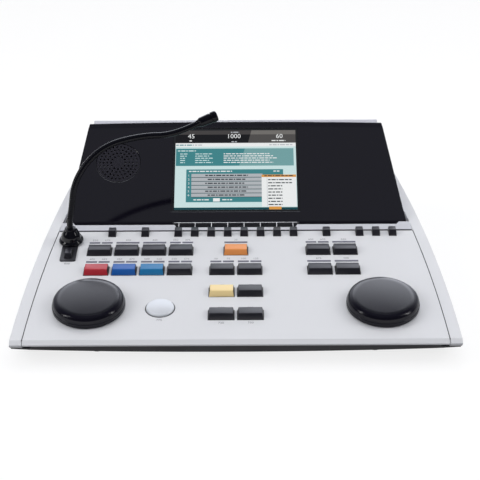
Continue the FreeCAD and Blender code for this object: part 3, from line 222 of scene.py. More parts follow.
# %% Finishes of the casing and lid
FINISHES = {
    "casing_grey": moulded("casing", (0.66, 0.662, 0.673), 0.5, grain=0.6, depth=0.03,
                           tone=0.015),
    "strip_grey": moulded("strip", (0.54, 0.545, 0.58), 0.45, tone=0.03),
    "lid_shell": moulded("lid_back", (0.55, 0.55, 0.6), 0.42, tone=0.03),
    "lid_black": moulded("lid_gloss", (0.0028, 0.0022, 0.0058), 0.09, grain=1.5, depth=0.0005,
                         tone=0.1, rub=0.05, edge=0.8, shine=0.9),
    "grille_black": moulded("grille", (0.0145, 0.0135, 0.02), 0.36, tone=0.06, rub=0.08),
    "screen_glass": moulded("glass", (0.008, 0.009, 0.011), 0.12, grain=3, depth=0.001,
                            tone=0.1, rub=0.0, coat=0.5),
    "base_black": moulded("base", (0.022, 0.021, 0.026), 0.5, grain=0.7, depth=0.04, tone=0.08),
}
print("casing finishes:", ", ".join(FINISHES))

# %% Finishes of keys, dials and the microphone
KEY_COLOURS = {
    "key_charcoal": (0.011, 0.0105, 0.016), "key_red": (0.42, 0.015, 0.026),
    "key_blue": (0.001, 0.092, 0.37), "key_light_blue": (0.001, 0.16, 0.37),
    "key_orange": (0.79, 0.28, 0.065), "key_yellow": (0.86, 0.66, 0.31),
}
for slot, colour in KEY_COLOURS.items():
    FINISHES[slot] = moulded(slot + "_plastic", colour, 0.36, grain=0.4, depth=0.01, tone=0.06,
                             edge=0.2, shine=0.75)
FINISHES |= {
    "bar_smoke": moulded("light_bar", (0.11, 0.11, 0.145), 0.3, tone=0.1, edge=0.1),
    "button_silver": moulded("button", (0.68, 0.7, 0.73), 0.34, grain=0.3, depth=0.006,
                             tone=0.03, metal=0.3),
    "dial_black": moulded("dial", (0.0085, 0.0088, 0.0125), 0.19, grain=0.5, depth=0.002,
                          tone=0.08, rub=0.0, shine=0.7),
    "boot_black": moulded("boot", (0.004, 0.004, 0.0065), 0.08, grain=2, depth=0.001, tone=0.1,
                          rub=0.0, shine=0.4),
    "neck_black": moulded("neck", (0.0035, 0.0035, 0.006), 0.1, grain=0.4, depth=0.001, tone=0.1,
                          rub=0.0, edge=0.1, shine=0.25),
    "plate_black": moulded("fitting", (0.02, 0.02, 0.024), 0.36, tone=0.08),
    "foot_rubber": moulded("rubber", (0.03, 0.03, 0.031), 0.85, grain=0.8, depth=0.08, tone=0.1,
                           rub=0.05),
}
key_side = moulded("key_side", (0.008, 0.008, 0.010), 0.4, edge=0.2)
print("finishes in all:", len(FINISHES))

# %% [markdown]
# ## Metal and circuit boards
#
# Turned steel shows fine lines round its axis and cloudy gloss.  A noise that is squeezed
# along one direction gives such lines, and pure metal needs only that and a bright base
# colour.  A circuit board is green lacquer over copper tracks: a brick pattern of long thin
# bricks looks like a bus of tracks, and a bump lifts them a little.

# %% Steel and circuit board
def patterned(name, first, second, rough, metal, pattern):
    """A finish between two colours, led by the pattern that a function adds."""
    finish = bpy.data.materials.new(name)
    finish.use_nodes = True
    tree = finish.node_tree
    shader = tree.nodes["Principled BSDF"]
    amount = pattern(tree, node(tree, "TexCoord").outputs["Object"])
    bump = node(tree, "Bump", {"Strength": 0.4, "Distance": 0.02 * MM, "Height": amount})
    tree.links.new(between(tree, amount, first, second), shader.inputs["Base Color"])
    tree.links.new(stretched(tree, amount, 0, 1, rough * 0.8, rough * 1.2),
                   shader.inputs["Roughness"])
    tree.links.new(bump.outputs["Normal"], shader.inputs["Normal"])
    shader.inputs["Metallic"].default_value = metal
    return finish


def brushed(tree, spot):
    """Fine lines along one direction."""
    squeezed = node(tree, "Mapping", {"Vector": spot, "Scale": (60, 2500, 2500)})
    return node(tree, "TexNoise", {"Vector": squeezed.outputs["Vector"], "Scale": 1,
                                   "Detail": 3}).outputs["Fac"]


def tracks(tree, spot):
    """Long thin bricks, like the copper tracks of a board."""
    return node(tree, "TexBrick", {"Vector": spot, "Scale": 160, "Mortar Size": 0.03,
                                   "Color1": (0, 0, 0, 1), "Color2": (0.3, 0.3, 0.3, 1),
                                   "Mortar": (1, 1, 1, 1)}).outputs["Color"]


FINISHES["bare_steel"] = patterned("steel", (0.5, 0.5, 0.52, 1), (0.62, 0.62, 0.64, 1), 0.3, 1.0,
                                   brushed)
FINISHES["circuit_board"] = patterned("board", (0.01, 0.09, 0.035, 1), (0.03, 0.17, 0.06, 1), 0.4,
                                      0.0, tracks)
print("finishes with the two patterned ones:", len(FINISHES))

# %% [markdown]
# ## Finishes on the solid parts
#
# Large mouldings already have the right shape, so they stay and only get a finish.  The
# solid parts carry their slot's name on their material, which is all that is needed to pick
# the finish.

# %% Give every solid part its finish
slot_of = {name: part.material_slots[0].material.name for name, part in frame["nodes"].items()}
for name, part in frame["nodes"].items():
    for holder in part.material_slots:
        holder.material = FINISHES[slot_of[name]]
print("slots in use:", sorted(set(slot_of.values())))

# %% [markdown]
# ## Press keys
#
# A key is one moulding: a rim that stops it under the panel, a column through the hole, a
# cap with a steep front and a long top, and a foot that meets the switch.  Boxes pushed
# into each other would leave hidden walls.  Instead one block is inset and extruded step by
# step, so the skin stays closed.  The front edge of the top is pushed back and its rear edge
# down, and a bevel then rounds every edge of the cap.  Its ends lean inwards a little, as
# those of a moulding must, so that it leaves its mould.  Coloured keys are coloured on the
# two faces that are seen and black on their flanks.

# %% Helpers that shape a block
def side_of(work, way):
    """The face of a block that lies furthest along a direction."""
    return max(work.faces, key=lambda face: face.calc_center_median().dot(way))


def drawn_out(work, face, length):
    """Extrudes a face along its own normal and returns the new end."""
    face.normal_update()
    way = face.normal.copy()
    end = bmesh.ops.extrude_discrete_faces(work, faces=[face])["faces"][0]
    bmesh.ops.translate(work, vec=way * length, verts=end.verts)
    return end


def block(work, size, middle):
    """Adds a box of a size round a point and returns its corners."""
    corners = bmesh.ops.create_cube(work, size=1)["verts"]
    bmesh.ops.scale(work, vec=size, verts=corners)
    bmesh.ops.translate(work, vec=middle, verts=corners)
    return corners


# %% One key
RIM, RIM_TOP, RIM_FOOT = 0.9, -3.3, -4.8    # retaining rim: reach, upper and lower face
KEY_FALL, KEY_LEAN, KEY_EDGE, KEY_DRAFT = 0.8, 0.61, 0.4, 0.8   # the cap's slopes and rounds
KEY_FOOT_INSET, CAP_START, SEEN_RISE = 2, 0.1, 0.3
UP, DOWN = Vector((0, 0, 1)), Vector((0, 0, -1))


def press_key(name):
    """A finer key in the place of a solid one."""
    low, high = reach(name, PANEL)
    width = high.x - low.x - 2 * RIM
    back = high.y - RIM if "function" not in name else high.y
    front = low.y + RIM
    work = bmesh.new()
    block(work, (width + 2 * RIM, back - front + 2 * RIM, RIM_TOP - RIM_FOOT),
          ((low.x + high.x) / 2, (front + back) / 2, (RIM_TOP + RIM_FOOT) / 2))
    top = side_of(work, UP)
    bmesh.ops.inset_individual(work, faces=[top], thickness=RIM)
    top = drawn_out(work, drawn_out(work, side_of(work, UP), -RIM_TOP), high.z)
    draft = KEY_DRAFT / 2 if "function" in name else KEY_DRAFT
    for corner in top.verts:
        corner.co.x -= math.copysign(draft, corner.co.x - (low.x + high.x) / 2)
        if corner.co.y < (front + back) / 2:
            corner.co.y += KEY_LEAN * high.z
        else:
            corner.co.z -= KEY_FALL
    foot = side_of(work, DOWN)
    bmesh.ops.inset_individual(work, faces=[foot], thickness=KEY_FOOT_INSET)
    drawn_out(work, side_of(work, DOWN), RIM_FOOT - low.z)
    work.normal_update()
    for face in work.faces:
        seen = face.calc_center_median().z > CAP_START and face.normal.z > SEEN_RISE
        face.material_index = int(seen)
    cap_edges = [edge for edge in work.edges
                 if max(corner.co.z for corner in edge.verts) > CAP_START]
    bmesh.ops.bevel(work, geom=cap_edges, offset=KEY_EDGE, segments=3, profile=0.5,
                    affect="EDGES", material=-1)
    finished(name + "_cap", work, PANEL, [key_side, FINISHES[slot_of[name]]], name,
             [name])


key_names = sorted(name for name in frame["nodes"] if "_key_" in name) + ["talk_key"]
for name in key_names:
    press_key(name)
print("keys made:", len(key_names))

# %% [markdown]
# ## Painted shade round the keys
#
# A key stands in its hole with a gap all round, and the shade in that gap is painted as a thin
# black frame that lies round the hole.  It is seen as a fine dark outline.  A flat sheet is
# inset, its middle is taken out, and solidify gives the frame that is left its thickness.

# %% A black frame of painted shade round every wide key
# Each frame is painted shade: a black outline that stands for the dark gap between a key and its
# hole.
SHADE_FRAME_GAP, SHADE_FRAME_WIDTH, SHADE_FRAME_LIFT, SHADE_FRAME_DEPTH = 0.15, 0.6, 0.1, 0.3
gap_shade_frames = bmesh.new()
for name in key_names:
    if "function" in name or name == "talk_key":
        continue
    low, high = reach(name, PANEL)
    grown = SHADE_FRAME_GAP + SHADE_FRAME_WIDTH - RIM
    sheet = bmesh.new()
    corners = bmesh.ops.create_grid(sheet, x_segments=1, y_segments=1, size=0.5)["verts"]
    bmesh.ops.scale(sheet, vec=(high.x - low.x + 2 * grown, high.y - low.y + 2 * grown, 1),
                    verts=corners)
    bmesh.ops.translate(sheet, vec=((low.x + high.x) / 2, (low.y + high.y) / 2, SHADE_FRAME_LIFT),
                        verts=corners)
    middle = sheet.faces[:]
    bmesh.ops.inset_individual(sheet, faces=middle, thickness=SHADE_FRAME_WIDTH)
    bmesh.ops.delete(sheet, geom=middle, context="FACES_ONLY")
    bmesh.ops.solidify(sheet, geom=sheet.faces[:], thickness=SHADE_FRAME_LIFT + SHADE_FRAME_DEPTH)
    bmesh.ops.recalc_face_normals(sheet, faces=sheet.faces)
    flat = bpy.data.meshes.new("gap_shade_sheet")
    sheet.to_mesh(flat)
    sheet.free()
    gap_shade_frames.from_mesh(flat)
finished("key_gap_shade", gap_shade_frames, PANEL, [key_side], "console")

# %% [markdown]
# ## Side cheeks
#
# The cheeks are the widest pieces of the casing.  Seen from the front their lower corner
# sweeps back in a long slope, so that the console seems to float.  The solid cheek has a
# short slope.  A copy of it is merged and cut once more along a plane, and the cut is closed.
# The new slope is painted black like the base, as painted shade, so that both read as one
# dark line.

# %% Cheeks with a long sweep
NOSE_FOOT, SWEEP_END = (-144.1, 14.6), (-108.0, 3.0)   # ends of the slope, as (y, z)
SHADED_SLOPE, SOLID_MERGE = 0.97, 1e-6
sweep = Vector((0, SWEEP_END[0] - NOSE_FOOT[0], SWEEP_END[1] - NOSE_FOOT[1])).normalized()
down_front = sweep.cross(RIGHT)
down_front *= -math.copysign(1, down_front.z)
for side in ("left", "right"):
    name = f"{side}_side_cheek"
    cheek = bmesh.new()
    cheek.from_mesh(frame["nodes"][name].data)
    bmesh.ops.remove_doubles(cheek, verts=cheek.verts, dist=SOLID_MERGE)
    cut = bmesh.ops.bisect_plane(cheek, geom=cheek.verts[:] + cheek.edges[:] + cheek.faces[:],
                                 plane_co=Vector((0, *NOSE_FOOT)) * MM, plane_no=down_front,
                                 clear_outer=True)["geom_cut"]
    rim = [part for part in cut if isinstance(part, bmesh.types.BMEdge)]
    bmesh.ops.holes_fill(cheek, edges=rim, sides=0)
    bmesh.ops.transform(cheek, matrix=Matrix.Scale(1 / MM, 4), verts=cheek.verts)
    bmesh.ops.recalc_face_normals(cheek, faces=cheek.faces)
    # The faces of the long slope take the base's black: painted shade under the cheek.
    for face in cheek.faces:
        face.material_index = int(face.normal.dot(down_front) > SHADED_SLOPE)
    print(name, "cut edges:", len(rim),
          " open edges:", sum(not edge.is_manifold for edge in cheek.edges))
    finished(f"{side}_cheek_swept", cheek, Matrix.Scale(MM, 4),
             [FINISHES["casing_grey"], FINISHES["base_black"]], "console", [name],
             crisp=28)

# %% [markdown]
# ## Round pieces
#
# The silver button, the two dials, the boot and the capsule of the microphone are all
# turned shapes.  Each is drawn as half a section, from the axis outwards and round, and spun
# once about the axis.  Curves in a section are three-point curves: start, corner and end.
# A full spin needs its ends merged, and its normals worked out afresh afterwards.

# %% Helpers for turned shapes
def curve(start, corner, end, steps=8):
    """Points of a smooth curve from start to end that leans towards a corner."""
    start, corner, end = Vector(start), Vector(corner), Vector(end)
    shares = [step / steps for step in range(steps + 1)]
    return [start * (1 - t) ** 2 + corner * 2 * t * (1 - t) + end * t ** 2 for t in shares]


def turned(section, steps=72):
    """A closed solid from half a section of (radius, height) points."""
    work = bmesh.new()
    chain = [work.verts.new((point[0], 0, point[1])) for point in section]
    edges = [work.edges.new(pair) for pair in zip(chain, chain[1:])]
    bmesh.ops.spin(work, geom=chain + edges, cent=(0, 0, 0), axis=(0, 0, 1),
                   angle=math.tau, steps=steps, use_merge=True, use_duplicate=False)
    bmesh.ops.remove_doubles(work, verts=work.verts, dist=MERGE)
    bmesh.ops.recalc_face_normals(work, faces=work.faces)
    return work


def centre_of(name, plane):
    """Where a round part stands on its plane, as a matrix from its axis to the object."""
    low, high = reach(name, plane)
    return plane @ Matrix.Translation(((low.x + high.x) / 2, (low.y + high.y) / 2, 0))


# %% The silver button
button_low, button_high = reach("round_button", PANEL)
button_radius = (button_high.x - button_low.x) / 2 - RIM
BUTTON_PLUG, BUTTON_RISE, BUTTON_ROUND = 2, 1.8, 1.4
button_section = [(0, button_low.z), (BUTTON_PLUG, button_low.z), (BUTTON_PLUG, RIM_FOOT),
                  (button_radius + RIM, RIM_FOOT), (button_radius + RIM, RIM_TOP),
                  (button_radius, RIM_TOP)]
button_section += curve((button_radius, 0.5), (button_radius, BUTTON_RISE - 0.3),
                        (button_radius - BUTTON_ROUND, BUTTON_RISE))
button_section += curve((button_radius - BUTTON_ROUND - 0.1, BUTTON_RISE),
                        (button_radius * 0.5, button_high.z), (0, button_high.z))
finished("round_button_cap", turned(button_section), centre_of("round_button", PANEL),
         [FINISHES["button_silver"]], "round_button", ["round_button"])

# A black ring round the button is painted shade of the gap round it.
RING_TOP, RING_SIDE = 0.2, 0.12
ring_in = button_radius + SHADE_FRAME_GAP
ring_out = ring_in + SHADE_FRAME_WIDTH
button_gap_shade_ring = [(ring_in, -SHADE_FRAME_DEPTH), (ring_out, -SHADE_FRAME_DEPTH), (ring_out, RING_SIDE),
               (ring_out - 0.2, RING_TOP), (ring_in, RING_TOP), (ring_in, -SHADE_FRAME_DEPTH)]
finished("round_button_gap_shade", turned(button_gap_shade_ring), centre_of("round_button", PANEL), [key_side],
         "console")

# %% [markdown]
# ## Level dials
#
# The dials are wide, low and smooth, with no pointer, because they turn without end.  The
# solid dial has a shoulder of two straight slopes.  The finer one has an upright skirt, a
# small step and a round shoulder, and a face that rises slightly to the middle, which gives
# the soft change of tone from its far side to its near side.  Everything outside the face
# has a darker copy of the face's colour, which is painted shade, and is less shiny.

# %% Two level dials
dial_low, dial_high = reach("left_dial", PANEL)
dial_radius = (dial_high.x - dial_low.x) / 2
DIAL_FACE, DIAL_SKIRT, DOME, RUNNING_GAP, DIAL_FOOT_EDGE, SPINDLE = 25.6, 4.2, 0.7, 0.6, 0.6, 3
face_rim = dial_high.z - DOME
dial_section = [(0, dial_low.z), (SPINDLE, dial_low.z), (SPINDLE, RUNNING_GAP),
                (dial_radius - DIAL_FOOT_EDGE, RUNNING_GAP),
                (dial_radius, RUNNING_GAP + DIAL_FOOT_EDGE)]
dial_section += curve((dial_radius, DIAL_SKIRT - 0.2), (dial_radius, DIAL_SKIRT),
                      (dial_radius - 0.2, DIAL_SKIRT + 0.05), 3)
dial_section += curve((dial_radius - 0.35, DIAL_SKIRT + 0.1), (dial_radius - 0.6, face_rim - 0.3),
                      (DIAL_FACE + 0.1, face_rim - 0.05), 16)
dial_section += curve((DIAL_FACE, face_rim), (DIAL_FACE * 0.5, dial_high.z), (0, dial_high.z))
# The rim's colour is a darker copy of the dial's: painted shade on the shoulder and skirt.
shaded_dial_rim = moulded("shaded_dial_rim", (0.004, 0.0035, 0.008), 0.2, grain=0.5, depth=0.002, tone=0.08,
                   rub=0.0, shine=0.3)
for side in ("left", "right"):
    knob = turned(dial_section, 112)
    for face in knob.faces:
        middle = face.calc_center_median()
        face.material_index = int(math.hypot(middle.x, middle.y) > DIAL_FACE)
    finished(f"{side}_dial_knob", knob, centre_of(f"{side}_dial", PANEL),
             [FINISHES["dial_black"], shaded_dial_rim], f"{side}_dial", [f"{side}_dial"])

# %% [markdown]
# ## The microphone
#
# The boot is a glossy cone with a full foot.  Out of it comes the neck, a steel spiral under
# a ribbed black sleeve that keeps any bend it is given, and at its end sits the capsule.
# The neck is drawn as one smooth curve through its bend.  Its ribs come from the width
# along that curve: a fine line of points whose width goes up and down once per rib, which a
# round curve bevel turns into a ribbed tube.

# %% The boot
boot_low, boot_high = reach("mic_boot", PANEL)
boot_radius = (boot_high.x - boot_low.x) / 2
BOOT_LIFT, BOOT_PLUG, BOOT_TOP = 1.4, 3.1, 4.9
boot_section = [(0, boot_low.z), (BOOT_PLUG, boot_low.z), (BOOT_PLUG, BOOT_LIFT),
                (9.6, BOOT_LIFT)]
boot_section += curve((10.2, BOOT_LIFT), (boot_radius, BOOT_LIFT), (boot_radius, 1.9), 4)
boot_section += curve((boot_radius, 2.1), (boot_radius - 0.1, 3.7), (9.3, 4.6), 6)
boot_section += curve((9.2, 4.8), (8.3, 9.4), (5.7, 12.9), 10)
boot_section += curve((5.5, 13.0), (BOOT_TOP + 0.1, 14.3), (BOOT_TOP, 14.5), 3)
boot_section += curve((BOOT_TOP, 14.6), (BOOT_TOP, boot_high.z), (BOOT_TOP - 0.5, boot_high.z), 3)
boot_section += [(0, boot_high.z)]
MICROPHONE = centre_of("mic_boot", PANEL)
finished("mic_boot_cone", turned(boot_section, 64), MICROPHONE, [FINISHES["boot_black"]],
         "microphone", ["mic_boot"])

# %% Helpers for lines and tubes
def curve_mesh(spots, kind, radii=None, round_steps=0):
    """The mesh of a curve through spots: a line, or a tube where radii are given."""
    line = bpy.data.curves.new("line", "CURVE")
    line.dimensions = "3D"
    spline = line.splines.new(kind)
    spline.points.add(len(spots) - 1)
    for index, spot in enumerate(spots):
        spline.points[index].co = (*spot, 1)
        spline.points[index].radius = radii[index] if radii else 1
    if kind == "NURBS":
        spline.order_u = 3
        spline.use_endpoint_u = True
        spline.resolution_u = 40
    if radii:
        line.bevel_depth = 1
        line.bevel_resolution = round_steps
        line.use_fill_caps = True
    carrier = bpy.data.objects.new("line", line)
    bpy.context.scene.collection.objects.link(carrier)
    mesh = bpy.data.meshes.new_from_object(
        carrier.evaluated_get(bpy.context.evaluated_depsgraph_get()))
    bpy.data.objects.remove(carrier)
    return mesh


def tubes(routes, kind, radii_of, round_steps):
    """One bmesh with a closed tube along each of several routes."""
    work = bmesh.new()
    for route in routes:
        work.from_mesh(curve_mesh(route, kind, radii_of(route), round_steps))
    bmesh.ops.remove_doubles(work, verts=work.verts, dist=TUBE_MERGE)
    bmesh.ops.recalc_face_normals(work, faces=work.faces)
    return work


# %% The ribbed neck
NECK_ROUTE = [(0, 0, 14.6), (0, 0, 23), (1.7, 2, 28.6), (6, 12.5, 59.9), (29.6, 30.5, 81.6),
              (64.4, 43.5, 85.2), (94.2, 49, 82.4), (115, 57, 90)]
NECK_RADIUS, RIB, RIB_STEPS = 2.85, 1.7, 4
WIDTHS = (1.0, 0.985, 0.94, 0.985)      # of the RIB_STEPS points of one rib

bend = [vertex.co.copy() for vertex in curve_mesh(NECK_ROUTE, "NURBS").vertices]
spots, run = [bend[0]], 0.0
for before, after in zip(bend, bend[1:]):
    run += (after - before).length
    while run >= len(spots) * RIB / RIB_STEPS:
        share = (run - len(spots) * RIB / RIB_STEPS) / (after - before).length
        spots.append(after.lerp(before, share))


def ribbed(route):
    """Radii along the neck that rise and fall once per rib."""
    return [NECK_RADIUS * WIDTHS[index % RIB_STEPS] for index in range(len(route))]


print("neck length in mm:", round(run, 1), " ribs:", len(spots) // RIB_STEPS)
finished("gooseneck_ribs", tubes([spots], "POLY", ribbed, 4), MICROPHONE,
         [FINISHES["neck_black"]], "microphone", ["gooseneck"], crisp=60)

# %% The capsule
CAPSULE, CAPSULE_LENGTH, CAPSULE_WAY = 5.1, 19.0, (20.4, 6.3, 6.0)
GROOVE_DEPTH, GROOVE_WIDTH = 0.5, 0.07  # of the sound openings; the width is a share
capsule_section = [(0, -1.2), (2.6, -1.2), (3.1, -0.4)]
capsule_section += curve((3.1, -0.2), (3.2, 1.4), (CAPSULE * 0.86, 2.4), 5)
capsule_section += [(CAPSULE * 0.95, 12.2), (CAPSULE * 0.84, 12.5), (CAPSULE * 0.84, 13.2),
                    (CAPSULE * 0.97, 13.5), (CAPSULE, 13.8), (CAPSULE, 16.6)]
capsule_section += curve((CAPSULE, 16.8), (CAPSULE * 0.98, CAPSULE_LENGTH - 0.2),
                         (CAPSULE * 0.72, CAPSULE_LENGTH), 6)
for ring in (0.62, 0.44, 0.26):
    outer, inner = CAPSULE * ring, CAPSULE * (ring - GROOVE_WIDTH)
    capsule_section += [(outer, CAPSULE_LENGTH), (outer, CAPSULE_LENGTH - GROOVE_DEPTH),
                        (inner, CAPSULE_LENGTH - GROOVE_DEPTH), (inner, CAPSULE_LENGTH)]
capsule_section += [(0, CAPSULE_LENGTH)]
along_neck = MICROPHONE @ Matrix.Translation(NECK_ROUTE[-1]) @ (
    Vector(CAPSULE_WAY).to_track_quat("Z", "Y").to_matrix().to_4x4())
finished("mic_capsule_head", turned(capsule_section, 40), along_neck, [FINISHES["neck_black"]],
         "microphone", ["mic_capsule"])

# %% [markdown]
# ## The loudspeaker grille
#
# The grille is a thin disc with rings of round holes and a blank middle.  Holes could be
# a picture on the surface, but then nothing would show behind them.  Here the disc is
# turned with a rounded rim, and one cutter of small round rods takes all holes out of it
# with a Boolean modifier, whose result is kept as the piece's mesh.

# %% Helper that takes one mesh out of another
def cut_away(work, tool):
    """Takes the bmesh tool out of the bmesh work and returns what is left of it."""
    carriers = []
    for part in (work, tool):
        mesh = bpy.data.meshes.new("carrier")
        part.to_mesh(mesh)
        part.free()
        carriers.append(bpy.data.objects.new("carrier", mesh))
        bpy.context.scene.collection.objects.link(carriers[-1])
    cut = carriers[0].modifiers.new("cut", "BOOLEAN")
    cut.operation = "DIFFERENCE"
    cut.object = carriers[1]
    kept = bpy.data.meshes.new_from_object(
        carriers[0].evaluated_get(bpy.context.evaluated_depsgraph_get()))
    for carrier in carriers:
        bpy.data.objects.remove(carrier)
    rest = bmesh.new()
    rest.from_mesh(kept)
    return rest


# %% A perforated disc
grille_low, grille_high = reach("speaker_grille", LID)
grille_radius = (grille_high.x - grille_low.x) / 2
GRILLE_RINGS, FIRST_HOLES, MORE_HOLES = 4, 12, 6
FIRST_RING, RING_STEP, HOLE, ROD_LENGTH, GRILLE_EDGE = 6.9, 3.55, 1.0, 4, 0.4

disc = turned([(0, grille_low.z), (grille_radius, grille_low.z),
               (grille_radius, grille_high.z - GRILLE_EDGE),
               (grille_radius - GRILLE_EDGE, grille_high.z), (0, grille_high.z)], 96)
rods = bmesh.new()
for ring in range(GRILLE_RINGS):
    holes = FIRST_HOLES + MORE_HOLES * ring
    for hole in range(holes):
        turn = Matrix.Rotation(math.tau * hole / holes, 4, "Z")
        place = turn @ Matrix.Translation((FIRST_RING + ring * RING_STEP, 0,
                                           (grille_low.z + grille_high.z) / 2))
        bmesh.ops.create_cone(rods, cap_ends=True, segments=10, radius1=HOLE, radius2=HOLE,
                              depth=ROD_LENGTH, matrix=place)
print("holes in the grille:", sum(FIRST_HOLES + MORE_HOLES * ring for ring in range(GRILLE_RINGS)))
finished("speaker_grille_disc", cut_away(disc, rods), centre_of("speaker_grille", LID),
         [FINISHES["grille_black"]], "lid", ["speaker_grille"])

# %% [markdown]
# ## The lid's crest
#
# The pale back shell of the lid stands a little above the black front, and is seen over it as
# a bright line.  The crest is a long block with round edges that fills the shell's top corner.
# It reaches no further than the shell does, so the lid still folds into its well.

# %% A crest along the lid
CREST_HALF, CREST_FOOT, CREST_LOW, CREST_ROUND, CREST_SINK = 137.8, 108.0, -2.0, 0.9, 0.05
shell_top, front_back = reach("display_back_shell", LID)[1].y, reach("display_bezel", LID)[0].z
crest = bmesh.new()
block(crest, (2 * CREST_HALF, shell_top - CREST_FOOT, front_back - CREST_LOW),
      (0, (shell_top + CREST_FOOT) / 2, (front_back + CREST_LOW) / 2 - CREST_SINK))
bmesh.ops.bevel(crest, geom=crest.edges, offset=CREST_ROUND, segments=3, profile=0.5,
                affect="EDGES", material=-1)
finished("lid_crest", crest, LID, [FINISHES["lid_shell"]], "lid")

# %% [markdown]
# ## The display's picture
#
# A backlit display glows evenly and its picture has hard edges.  The picture is built from
# flat tiles that lie on the glass, each a few hundredths of a millimetre above the one
# below.  A tile gives off its own colour and carries a faint raster of picture dots.  What
# it shows is a made-up list, a table and a small window, with strokes for writing and plain
# numbers.

# %% A finish that glows
DOT, DOT_GAP = 0.36, 0.03       # the raster's pitch and gap, in millimetres
GLOW, GLASS_BLACK = 0.9, 0.003


def glowing(name, colour):
    """Light from behind a fine raster of dots, under a glossy sheet."""
    finish = bpy.data.materials.new(name)
    finish.use_nodes = True
    tree = finish.node_tree
    shader = tree.nodes["Principled BSDF"]
    flat = node(tree, "Mapping", {"Vector": node(tree, "TexCoord").outputs["Object"],
                                  "Rotation": (-math.atan2(up_lid.z, up_lid.y), 0, 0)})
    dots = node(tree, "TexBrick", {"Vector": flat.outputs["Vector"], "Scale": 1,
                                   "Brick Width": DOT * MM, "Row Height": DOT * MM,
                                   "Mortar Size": DOT_GAP * MM, "Color1": shade(colour, 1),
                                   "Color2": shade(colour, 0.98), "Mortar": shade(colour, 0.8)},
                offset=0)
    drift = node(tree, "TexNoise", {"Vector": flat.outputs["Vector"], "Scale": 20}).outputs["Fac"]
    lit = between(tree, stretched(tree, drift, 0.3, 0.7, 0, 0.08), dots.outputs["Color"],
                  shade(colour, 0.9))
    tree.links.new(lit, shader.inputs["Emission Color"])
    tree.links.new(stretched(tree, drift, 0, 1, 0.25, 0.35), shader.inputs["Roughness"])
    shader.inputs["Emission Strength"].default_value = GLOW
    shader.inputs["Base Color"].default_value = (GLASS_BLACK, GLASS_BLACK, GLASS_BLACK, 1)
    return finish


SCREEN_COLOURS = {
    "ground": (0.68, 0.87, 0.87), "slate": (0.06, 0.055, 0.055), "black": (0.004, 0.004, 0.006),
    "pewter": (0.085, 0.08, 0.078), "pale_pewter": (0.18, 0.17, 0.16),
    "white": (0.95, 0.97, 0.97), "teal": (0.055, 0.26, 0.285), "pale_teal": (0.19, 0.4, 0.41),
    "row": (0.5, 0.53, 0.56), "orange": (0.8, 0.36, 0.07), "deep_teal": (0.002, 0.06, 0.075),
    "ink": (0.03, 0.04, 0.05),
}
PAINTS = list(SCREEN_COLOURS)
screen_finishes = [glowing("screen_" + name, colour) for name, colour in SCREEN_COLOURS.items()]
print("screen colours:", len(PAINTS))

# %% Tiles and strokes
glass_top = reach("lcd_screen", LID)[1].z
LAYER = 0.03        # lift of one layer of tiles over the next
SCREEN_LEFT, SCREEN_FOOT, SCREEN_WIDTH, SCREEN_HEIGHT = -57.6, 12.4, 115.2, 86.4
STROKES, STROKE_GAP = (0.021, 0.034, 0.013, 0.042, 0.027), 0.007    # shares of the width
picture = bmesh.new()


def tile(paint, left, top, right, foot, layer, lean=0):
    """A flat tile between shares of the picture from its top left; lean slants its left end."""
    corners = bmesh.ops.create_grid(picture, x_segments=1, y_segments=1, size=0.5)["verts"]
    for corner in corners:
        x = right if corner.co.x > 0 else left + (lean if corner.co.y > 0 else 0)
        y = top if corner.co.y > 0 else foot
        corner.co = (SCREEN_LEFT + SCREEN_WIDTH * x, SCREEN_FOOT + SCREEN_HEIGHT * (1 - y),
                     glass_top + LAYER * layer)
    for face in {face for corner in corners for face in corner.link_faces}:
        face.material_index = PAINTS.index(paint)


def dashes(paint, left, right, top, layer, height=0.013, start=0):
    """A row of short strokes that stands for a line of writing."""
    stroke = start
    while left < right:
        length = STROKES[stroke % len(STROKES)]
        tile(paint, left, top, min(left + length, right), top + height, layer)
        left += length + STROKE_GAP
        stroke += 1


# %% Plain numbers
def lettering(work, words, height, x, y, lift, index=0, thick=0.0):
    """Adds plain numbers or marks to a mesh, lying flat at a height."""
    font = bpy.data.curves.new("numbers", "FONT")
    font.body, font.size, font.extrude = words, height, thick
    font.align_x = font.align_y = "CENTER"
    font.resolution_u = 3
    carrier = bpy.data.objects.new("numbers", font)
    bpy.context.scene.collection.objects.link(carrier)
    mesh = bpy.data.meshes.new_from_object(
        carrier.evaluated_get(bpy.context.evaluated_depsgraph_get()))
    bpy.data.objects.remove(carrier)
    mesh.transform(Matrix.Translation((x, y, lift)))
    before = len(work.faces)
    work.from_mesh(mesh)
    work.faces.ensure_lookup_table()
    for face in work.faces[before:]:
        face.material_index = index


def screen_number(words, paint, x, y, height, layer):
    """A plain number on the picture, at shares of its width and height."""
    lettering(picture, words, height * SCREEN_HEIGHT, SCREEN_LEFT + SCREEN_WIDTH * x,
              SCREEN_FOOT + SCREEN_HEIGHT * (1 - y), glass_top + LAYER * layer,
              PAINTS.index(paint))


# %% The head of the picture
HEAD, BAND = 0.163, 0.21
tile("ground", 0, 0, 1, 1, 1)
tile("slate", 0, 0, 1, 0.053, 2)
tile("black", 0, 0.053, 1, HEAD, 2)
tile("pewter", 0.603, 0.053, 1, HEAD, 3, lean=0.02)
tile("pale_pewter", 0.623, 0, 1, 0.053, 3, lean=0.01)
tile("white", 0, HEAD, 1, BAND, 2)
dashes("teal", 0.005, 0.15, 0.182, 3)
dashes("row", 0.16, 0.22, 0.182, 3)
dashes("row", 0.78, 0.98, 0.182, 3)
dashes("row", 0.46, 0.53, 0.018, 4, start=2)
for words, x in (("45", 0.13), ("1000", 0.485), ("60", 0.865)):
    screen_number(words, "white", x, 0.078, 0.078, 5)
dashes("white", 0.115, 0.135, 0.128, 4)
dashes("row", 0.465, 0.51, 0.142, 4)
dashes("white", 0.8, 0.915, 0.128, 4, start=1)
print("faces in the head of the picture:", len(picture.faces))

